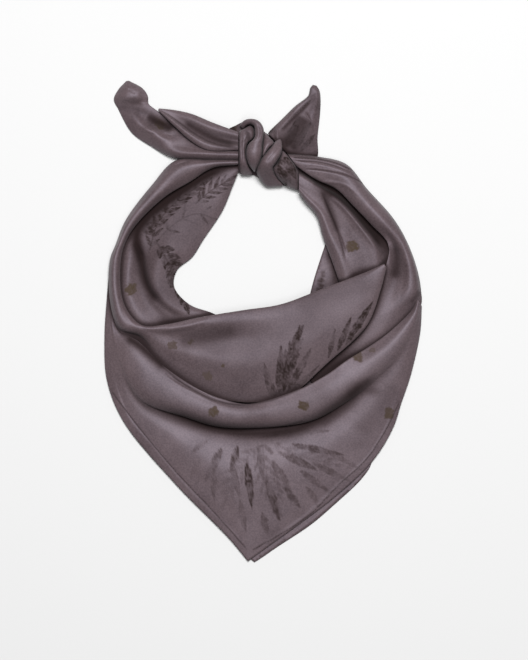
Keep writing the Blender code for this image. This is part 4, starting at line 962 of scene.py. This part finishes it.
def print_and_shade_tones(name, grid):
    """The leaf print, the brown spots and the shade painted into the hollows, creases and hems at each point
    of a piece, as columns.
    """
    points = grid.reshape(-1, 3)[:, :2]
    leaf = np.zeros(len(points))
    brown = np.zeros(len(points))
    # Painted shade in the hollows below the folds round the piece
    painted_shade = painted_hollow_shade(grid.reshape(-1, 3)) * HOLLOW_SHADE_SHARES.get(name, 1.0)

    def stamp(foot, tip, mark, seed):
        width = mark.width * MILLIMETRE
        reach = 0.6 * np.linalg.norm(tip - foot) + width
        near = np.where((np.abs(points - 0.5 * (foot + tip)) < reach).all(axis=1))[0]
        leaf[near] = np.maximum(leaf[near], leaf_tone(points[near], foot, tip, width, mark.tone, seed))

    for index, mark in enumerate(LEAVES):
        if mark.piece == name:
            stamp(millimetres(mark.foot), millimetres(mark.tip), mark, LEAF_SEED + index)
    for index, spray in enumerate(SPRAYS):
        if spray.piece == name:
            stem, leaves = spray_leaves(spray)
            for number, (foot, tip) in enumerate(leaves):
                stamp(foot, tip, spray, SPRAY_SEED + 20 * index + number)
            gap = near_line(points, stem)[0]
            leaf[:] = np.maximum(leaf, bell(gap, STEM_LINE) * spray.tone * STEM_TONE)
    for index, spot in enumerate(SPOTS):
        if spot.piece == name:
            brown = np.maximum(brown, spot_tone(points, spot, index))
    # Painted shade along the creases, under the rolls and in the valleys
    for shade_line in SHADE_LINES.get(name, ()):
        gap, place = near_line(points, smooth_path(shade_line.line))
        run = SHADE_LINE_END + (1.0 - SHADE_LINE_END) * fade(place, SHADE_LINE_FADE)
        depth = bell(gap, shade_line.width * MILLIMETRE) * run * shade_line.tone
        painted_shade = 1.0 - (1.0 - painted_shade) * (1.0 - depth)
    # Painted shade along each hem crease
    for seam in SEAMS:
        if seam.piece == name:
            gap = near_line(points, smooth_path(seam.line))[0]
            painted_shade = np.maximum(painted_shade, HEM_SHADE_TONE * bell(gap, HEM_SHADE_LINE))
    return np.stack((leaf, brown, painted_shade, np.ones(len(leaf))), axis=1)


def new_piece(name, bm):
    """An object in the scene whose mesh takes the shape of a bmesh."""
    mesh = bpy.data.meshes.new(name)
    bm.to_mesh(mesh)
    bm.free()
    obj = bpy.data.objects.new(name, mesh)
    bpy.context.collection.objects.link(obj)
    return obj


def mesh_points(mesh):
    """The places of a mesh's points, a row for each."""
    flat = np.zeros(len(mesh.vertices) * 3)
    mesh.vertices.foreach_get("co", flat)
    return flat.reshape(-1, 3)


def run_lengths(grid, axis):
    """How far each line of a grid lies from its first, along this axis."""
    steps = np.linalg.norm(np.diff(grid, axis=axis), axis=2).mean(axis=1 - axis)
    return np.concatenate(([0.0], np.cumsum(steps)))


def dye(mesh, tones):
    """Keep the print tones and the painted shade on a mesh's points, where the silk reads them."""
    mesh.attributes.new("prints", "FLOAT_COLOR", "POINT").data.foreach_set("color", tones.ravel())


def grid_piece(name, grid):
    """A mesh object whose grid of faces takes its places from the surface, with its cut's own UV map."""
    rows, columns = grid.shape[:2]
    bm = bmesh.new()
    bm.loops.layers.uv.new("cut")
    bmesh.ops.create_grid(bm, x_segments=columns - 1, y_segments=rows - 1, size=1.0, calc_uvs=True)
    obj = new_piece(name + "_silk", bm)
    mesh = obj.data
    flat = mesh_points(mesh)
    column = np.rint((flat[:, 0] + 1.0) / 2.0 * (columns - 1)).astype(int)
    line = np.rint((flat[:, 1] + 1.0) / 2.0 * (rows - 1)).astype(int)
    mesh.vertices.foreach_set("co", grid[line, column].ravel())
    dye(mesh, print_and_shade_tones(name, grid).reshape(rows, columns, 4)[line, column])
    corners = np.zeros(len(mesh.loops), dtype=int)
    mesh.loops.foreach_get("vertex_index", corners)
    places = np.stack((run_lengths(grid, 1)[column[corners]], run_lengths(grid, 0)[line[corners]]), axis=1)
    mesh.uv_layers[0].data.foreach_set("uv", places.ravel())
    mesh.update()
    return obj


def face_up(mesh):
    """Turn the faces of an open sheet so that the side seen from above is its outer one."""
    normals = np.zeros(len(mesh.polygons) * 3)
    mesh.polygons.foreach_get("normal", normals)
    if normals.reshape(-1, 3)[:, 2].mean() < 0.0:
        mesh.flip_normals()


def finish_cloth(obj, node):
    areas = np.zeros(len(obj.data.polygons))
    obj.data.polygons.foreach_get("area", areas)
    obj.data.shade_smooth()
    face_up(obj.data)
    wall = obj.modifiers.new("wall", "SOLIDIFY")
    wall.thickness = bpy.context.scene.silk.wall
    wall.offset = 0.0
    obj.data.materials.append(silk_material())
    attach(obj, "root")
    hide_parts(node)


def make_cloth(cloth):
    """One length of cloth from its table, with its small folds, its prints and its painted shade."""
    grid = cloth_surface(cloth, fine_pitch(cloth))
    press_folds(cloth.name, grid)
    finish_cloth(grid_piece(cloth.name, grid), cloth.name)


def make_under_leaf():
    """The lower leaf, filled from its outline and spread on the table."""
    points = [plan((point.x, point.y)) for point in UNDER_LEAF_OUTLINE]
    corners = [index for index, point in enumerate(UNDER_LEAF_OUTLINE) if point.corner]
    control = np.array(points + [points[0]])[:, None, :]
    line = smooth_lines(control, step_counts(control, UNDER_LEAF_PITCH), corners)[:-1, 0, :]
    bm = bmesh.new()
    bm.loops.layers.uv.new("cut")
    bm.faces.new([bm.verts.new(point) for point in line])
    bmesh.ops.triangulate(bm, faces=bm.faces[:])
    for _ in range(UNDER_LEAF_ROUNDS):
        inner = [edge for edge in bm.edges if not edge.is_boundary]
        long_edges = [edge for edge in inner if edge.calc_length() > UNDER_LEAF_PITCH]
        bmesh.ops.subdivide_edges(bm, edges=long_edges, cuts=1)
        bmesh.ops.triangulate(bm, faces=bm.faces[:])
        inner = [edge for edge in bm.edges if not edge.is_boundary]
        bmesh.ops.beautify_fill(bm, faces=bm.faces[:], edges=inner)
    bmesh.ops.translate(bm, verts=bm.verts[:], vec=(0.0, 0.0, CLOTH / 2.0))
    uv = bm.loops.layers.uv.active
    for face in bm.faces:
        for loop in face.loops:
            loop[uv].uv = (loop.vert.co.x + WIDTH, loop.vert.co.y + LENGTH)
    obj = new_piece("under_leaf_silk", bm)
    dye(obj.data, print_and_shade_tones("under_leaf", mesh_points(obj.data)))
    finish_cloth(obj, "under_leaf")


def make_stitches(seam, host, number):
    """A run of short threads that lie along a hem, each a small rounded bar."""
    points = mesh_points(host.data)
    line = smooth_path(seam.line, SEAM_PITCH)
    marks = np.concatenate(([0.0], np.cumsum(np.linalg.norm(np.diff(line, axis=0), axis=1))))
    pitch = seam.pitch * MILLIMETRE
    bm = bmesh.new()
    for index in range(int(marks[-1] / pitch)):
        at, ahead = (
            [np.interp((index + share) * pitch, marks, line[:, axis]) for axis in (0, 1)]
            for share in (0.5, 0.9))
        close = np.hypot(points[:, 0] - at[0], points[:, 1] - at[1]) < STITCH_REACH
        if not close.any():
            continue
        height = points[close, 2].max() + bpy.context.scene.silk.wall / 2.0
        turn = math.atan2(ahead[1] - at[1], ahead[0] - at[0])
        thread = Matrix.Translation((at[0], at[1], height)) @ Matrix.Rotation(turn, 4, "Z")
        thread = thread @ Matrix.Diagonal((STITCH_LENGTH * pitch, STITCH_WIDTH, STITCH_HEIGHT, 1.0))
        bmesh.ops.create_icosphere(bm, subdivisions=1, radius=1.0, matrix=thread)
    obj = new_piece("stitches_" + str(number), bm)
    obj.data.materials.append(thread_material())
    obj.data.shade_smooth()
    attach(obj, "root")


def new_material(name):
    """A material with its node tree and its shader."""
    material = bpy.data.materials.new(name)
    material.use_nodes = True
    return material, material.node_tree, material.node_tree.nodes["Principled BSDF"]


def feed(tree, node, inputs):
    """Give a node's inputs their numbers, their colours or the outputs that drive them."""
    for name, value in inputs.items():
        if isinstance(value, bpy.types.NodeSocket):
            tree.links.new(value, node.inputs[name])
        else:
            node.inputs[name].default_value = value


def add_node(tree, kind, x, y, inputs, output=0, **settings):
    """One output of a new node, at its place in the editor and with its settings and inputs."""
    node = tree.nodes.new("ShaderNode" + kind)
    node.location = (x, y)
    for name, value in settings.items():
        setattr(node, name, value)
    feed(tree, node, inputs)
    return node.outputs[output]


def mix_colours(tree, x, y, first, second, share):
    """A colour that goes from the first to the second; a mix node's colours are its inputs 6 and 7."""
    first, second = (
        value if isinstance(value, bpy.types.NodeSocket) else (*value, 1.0) for value in (first, second))
    return add_node(tree, "Mix", x, y, {"Factor": share, 6: first, 7: second}, 2, data_type="RGBA")


def silk_material():
    """Satin silk: a soft lustre over a fine weave, clouded dye, leaf prints, brown spots, and shade painted
    into the folds and hollows, where the lustre is dimmed.
    """
    found = bpy.data.materials.get("silk charmeuse")
    if found:
        return found
    silk = bpy.context.scene.silk
    material, tree, shader = new_material("silk charmeuse")

    def add(kind, x, y, inputs, output=0, **settings):
        return add_node(tree, kind, x, y, inputs, output, **settings)

    place = add("TexCoord", -1500, 200, {}, "Object")
    cut = add("UVMap", -1500, -300, {}, uv_map="cut")
    cloud = add("TexNoise", -1200, 400, {"Vector": place, "Scale": 38.0, "Detail": 4.0}, "Fac")
    cloudy = add("MapRange", -1000, 400, {"Value": cloud, "From Min": 0.3, "From Max": 0.7})
    fleck = add(
        "TexNoise", -1200, 700, {"Vector": place, "Scale": 760.0, "Detail": 3.0, "Roughness": 0.7}, "Fac")
    flecks = add("MapRange", -1000, 700, {"Value": fleck, "From Min": 0.36, "From Max": 0.64})
    halved = add("Math", -1000, 550, {0: cloudy, 1: 0.5}, operation="MULTIPLY")
    uneven = add("Math", -900, 550, {0: flecks, 1: 0.6, 2: halved}, operation="MULTIPLY_ADD")
    dyed = mix_colours(tree, -800, 400, silk.deep_colour, silk.colour, uneven)

    # The prints attribute holds the leaf print, the brown spots and the painted shade
    prints = add("Attribute", -1200, 100, {}, "Color", attribute_name="prints")
    channels = add("SeparateColor", -1000, 100, {"Color": prints}).node.outputs
    leafy = mix_colours(tree, -600, 300, dyed, silk.leaf_colour, channels["Red"])
    spotted = mix_colours(tree, -400, 300, leafy, silk.spot_colour, channels["Green"])
    # Painted shade: the shade colour laid into the folds, the hollows and the hem creases
    painted_shade = mix_colours(tree, -200, 300, spotted, silk.painted_shade_colour, channels["Blue"])

    gloss = add("MapRange", -600, 0, {
        "Value": cloud, "To Min": silk.roughness + 0.04, "To Max": silk.roughness - 0.04})
    # The prints, the spots and the painted shade make the satin duller and dim its lustre, so no highlight
    # shows in the painted shade
    spots_and_painted_shade = add("Math", -600, 150, {0: channels["Green"], 1: channels["Blue"]}, operation="MAXIMUM")
    prints_and_painted_shade = add("Math", -400, 150, {0: spots_and_painted_shade, 1: channels["Red"]}, operation="MAXIMUM")
    dulled = add("MapRange", -200, 0, {"Value": prints_and_painted_shade, "To Min": gloss, "To Max": 1.0})
    lustre = mix_colours(tree, -200, 150, silk.lustre, silk.print_and_shade_lustre, prints_and_painted_shade)

    threads = add("Mapping", -1200, -300, {"Vector": cut, "Scale": (9000.0, 3200.0, 1.0)})
    weave = add("TexNoise", -1000, -300, {"Vector": threads, "Scale": 1.0, "Detail": 1.0}, "Fac")
    fine = add("Bump", -600, -300, {"Height": weave, "Strength": 0.35, "Distance": 0.00006})
    slubs = add("Mapping", -1200, -600, {"Vector": cut, "Scale": (90.0, 1300.0, 1.0)})
    slub = add("TexNoise", -1000, -600, {"Vector": slubs, "Scale": 1.0, "Detail": 2.0}, "Fac")
    ribbed = add("Bump", -400, -300, {
        "Height": slub, "Strength": 0.3, "Distance": 0.00012, "Normal": fine})
    feed(tree, shader, {
        "Base Color": painted_shade, "Roughness": dulled, "Normal": ribbed, "Specular IOR Level": 0.55,
        "Specular Tint": lustre, "Anisotropic": 0.3, "Sheen Weight": 0.04, "Sheen Roughness": 0.5})
    return material


def thread_material():
    """The silk sewing thread, a shade deeper than the cloth."""
    found = bpy.data.materials.get("silk thread")
    if found:
        return found
    silk = bpy.context.scene.silk
    material, tree, shader = new_material("silk thread")
    place = add_node(tree, "TexCoord", -900, 0, {}, "Object")
    twist = add_node(tree, "TexNoise", -700, 0, {"Vector": place, "Scale": 2500.0}, "Fac")
    colour = mix_colours(tree, -400, 0, silk.leaf_colour, silk.deep_colour, twist)
    bump = add_node(tree, "Bump", -400, -300, {"Height": twist, "Distance": 0.00005})
    feed(tree, shader, {"Base Color": colour, "Normal": bump, "Roughness": 0.5})
    return material


def make_table_top():
    """The plain pale surface that the scarf lies on."""
    bm = bmesh.new()
    bmesh.ops.create_grid(bm, x_segments=1, y_segments=1, size=TABLE_SIZE)
    bmesh.ops.translate(bm, verts=bm.verts[:], vec=(0.0, 0.0, -TABLE_DEPTH))
    obj = new_piece("table_top", bm)
    material, tree, shader = new_material("pale table")
    feed(tree, shader, {"Base Color": TABLE_GREY, "Roughness": 0.8, "Specular IOR Level": 0.1})
    obj.data.materials.append(material)


def add_light(name, place, size, power):
    """A soft round light that faces the scarf."""
    lamp = bpy.data.lights.new(name, "AREA")
    lamp.shape = "DISK"
    lamp.size = size
    lamp.energy = power
    obj = bpy.data.objects.new(name, lamp)
    obj.location = place
    obj.rotation_euler = (-Vector(place)).to_track_quat("-Z", "Y").to_euler()
    bpy.context.collection.objects.link(obj)


def set_stage():
    """The table, the soft overhead lights, the pale surroundings and the camera."""
    stage = bpy.context.scene.stage
    make_table_top()
    add_light("key", KEY_PLACE, stage.key_size, stage.key_power)
    add_light("fill", FILL_PLACE, FILL_SIZE, stage.fill_power)
    world = bpy.data.worlds.new("pale room")
    world.use_nodes = True
    surround = world.node_tree.nodes["Background"]
    surround.inputs["Color"].default_value = (1.0, 1.0, 1.0, 1.0)
    surround.inputs["Strength"].default_value = stage.room_light
    bpy.context.scene.world = world
    lens = bpy.data.cameras.new("camera")
    lens.sensor_width = SENSOR_WIDTH
    lens.lens = lens.sensor_width * stage.camera_height / PICTURE_HEIGHT
    lens.clip_end = 50.0
    camera = bpy.data.objects.new("camera", lens)
    camera.location = (*PICTURE_MIDDLE, stage.camera_height)
    bpy.context.collection.objects.link(camera)
    bpy.context.scene.camera = camera
    bpy.context.scene.view_settings.view_transform = "Standard"


def colour_setting(name, default, description):
    """A colour of the silk that can be changed in the panel."""
    return FloatVectorProperty(
        name=name, description=description, subtype="COLOR", size=3, default=default, min=0.0, max=1.0)


class SilkSettings(bpy.types.PropertyGroup):
    """The cloth's colours, lustre and wall."""

    colour: colour_setting("Dye", (0.108, 0.077, 0.083), "Colour of the silk where the dye is lightest")
    deep_colour: colour_setting("Deep dye", (0.052, 0.035, 0.038), "Colour of the silk where it is darkest")
    leaf_colour: colour_setting("Leaf print", (0.022, 0.015, 0.014), "Colour that a pressed leaf leaves")
    spot_colour: colour_setting("Brown spot", (0.060, 0.043, 0.030), "Colour of the brown spots")
    # The colour of the shade painted deep in the folds, under the rolls and along the hem creases
    painted_shade_colour: colour_setting(
        "Pooled dye", (0.016, 0.010, 0.010), "Colour of the dye that has pooled deep in the folds")
    lustre: colour_setting("Lustre", (0.90, 0.84, 1.0), "Colour of the satin's shine")
    # The dimmed lustre of the prints and of the painted shade
    print_and_shade_lustre: colour_setting("Print lustre", (0.06, 0.05, 0.06), "Colour of the shine on the prints")
    roughness: FloatProperty(
        name="Roughness", description="How dull the satin is", default=0.55, min=0.1, max=1.0)
    wall: FloatProperty(
        name="Wall", description="Thickness of the cloth", default=0.0005, min=0.0002, max=CLOTH,
        unit="LENGTH", precision=4)
    pitch: FloatProperty(
        name="Pitch", description="Size of the small faces that carry the folds and the prints",
        default=0.00064, min=0.0005, max=0.005, unit="LENGTH", precision=4)


class StageSettings(bpy.types.PropertyGroup):
    """The lights and the camera."""

    camera_height: FloatProperty(
        name="Camera height", description="Height of the camera over the table", default=2.4,
        min=0.5, unit="LENGTH")
    key_size: FloatProperty(
        name="Key size", description="Width of the main light", default=1.0, min=0.1, unit="LENGTH")
    key_power: FloatProperty(
        name="Key power", description="Power of the main light", default=81.0, min=0.0, unit="POWER")
    fill_power: FloatProperty(
        name="Fill power", description="Power of the second light", default=12.0, min=0.0, unit="POWER")
    room_light: FloatProperty(
        name="Room light", description="Strength of the light from all round", default=0.14, min=0.0)


class SCARF_OT_leaves(bpy.types.Operator):
    """Build the two leaves that hang as the point"""

    bl_idname = "scarf.leaves"
    bl_label = "Leaves and point"

    def execute(self, context):
        make_under_leaf()
        make_cloth(FRONT_LEAF)
        return {"FINISHED"}


class SCARF_OT_collar(bpy.types.Operator):
    """Build the roll and the bands round the neck"""

    bl_idname = "scarf.collar"
    bl_label = "Collar and bands"

    def execute(self, context):
        for cloth in (COLLAR_ROLL, LEFT_INNER_BAND, RIGHT_INNER_BAND, RIGHT_OUTER_BAND):
            make_cloth(cloth)
        return {"FINISHED"}


class SCARF_OT_tails(bpy.types.Operator):
    """Build the two free ends"""

    bl_idname = "scarf.tails"
    bl_label = "Tails"

    def execute(self, context):
        for cloth in (LEFT_TAIL, LEFT_TAIL_FLAP, RIGHT_TAIL):
            make_cloth(cloth)
        return {"FINISHED"}


class SCARF_OT_knot(bpy.types.Operator):
    """Build the wraps of the knot"""

    bl_idname = "scarf.knot"
    bl_label = "Knot"

    def execute(self, context):
        for cloth in WRAPS:
            make_cloth(cloth)
        return {"FINISHED"}


class SCARF_OT_stitches(bpy.types.Operator):
    """Sew the hems of the leaves, the bands and the tail"""

    bl_idname = "scarf.stitches"
    bl_label = "Hem stitches"

    def execute(self, context):
        for number, seam in enumerate(SEAMS):
            make_stitches(seam, bpy.data.objects[seam.piece + "_silk"], number + 1)
        return {"FINISHED"}


class SCARF_OT_stage(bpy.types.Operator):
    """Set the table, the lights and the camera"""

    bl_idname = "scarf.stage"
    bl_label = "Table, lights and camera"

    def execute(self, context):
        set_stage()
        return {"FINISHED"}


STEPS = (SCARF_OT_stage, SCARF_OT_leaves, SCARF_OT_collar, SCARF_OT_tails, SCARF_OT_knot, SCARF_OT_stitches)


class SCARF_PT_panel(bpy.types.Panel):
    """The colours of the scarf, its lights and the buttons that build it"""

    bl_idname = "SCARF_PT_panel"
    bl_label = "Neckerchief"
    bl_space_type = "VIEW_3D"
    bl_region_type = "UI"
    bl_category = "Neckerchief"

    def draw(self, context):
        for group in (context.scene.silk, context.scene.stage):
            for name in group.__annotations__:
                self.layout.prop(group, name)
        for step in STEPS:
            self.layout.operator(step.bl_idname)


CLASSES = (SilkSettings, StageSettings, *STEPS, SCARF_PT_panel)


def register():
    """Make the settings, buttons and panel known."""
    for item in CLASSES:
        bpy.utils.register_class(item)
    bpy.types.Scene.silk = PointerProperty(type=SilkSettings)
    bpy.types.Scene.stage = PointerProperty(type=StageSettings)


def unregister():
    """Take the settings, buttons and panel away again."""
    del bpy.types.Scene.stage
    del bpy.types.Scene.silk
    for item in reversed(CLASSES):
        bpy.utils.unregister_class(item)


def main():
    """Build the whole scarf on its table."""
    register()
    bpy.ops.scarf.stage()
    bpy.ops.scarf.leaves()
    bpy.ops.scarf.collar()
    bpy.ops.scarf.tails()
    bpy.ops.scarf.knot()
    bpy.ops.scarf.stitches()


if __name__ == "__main__":
    main()
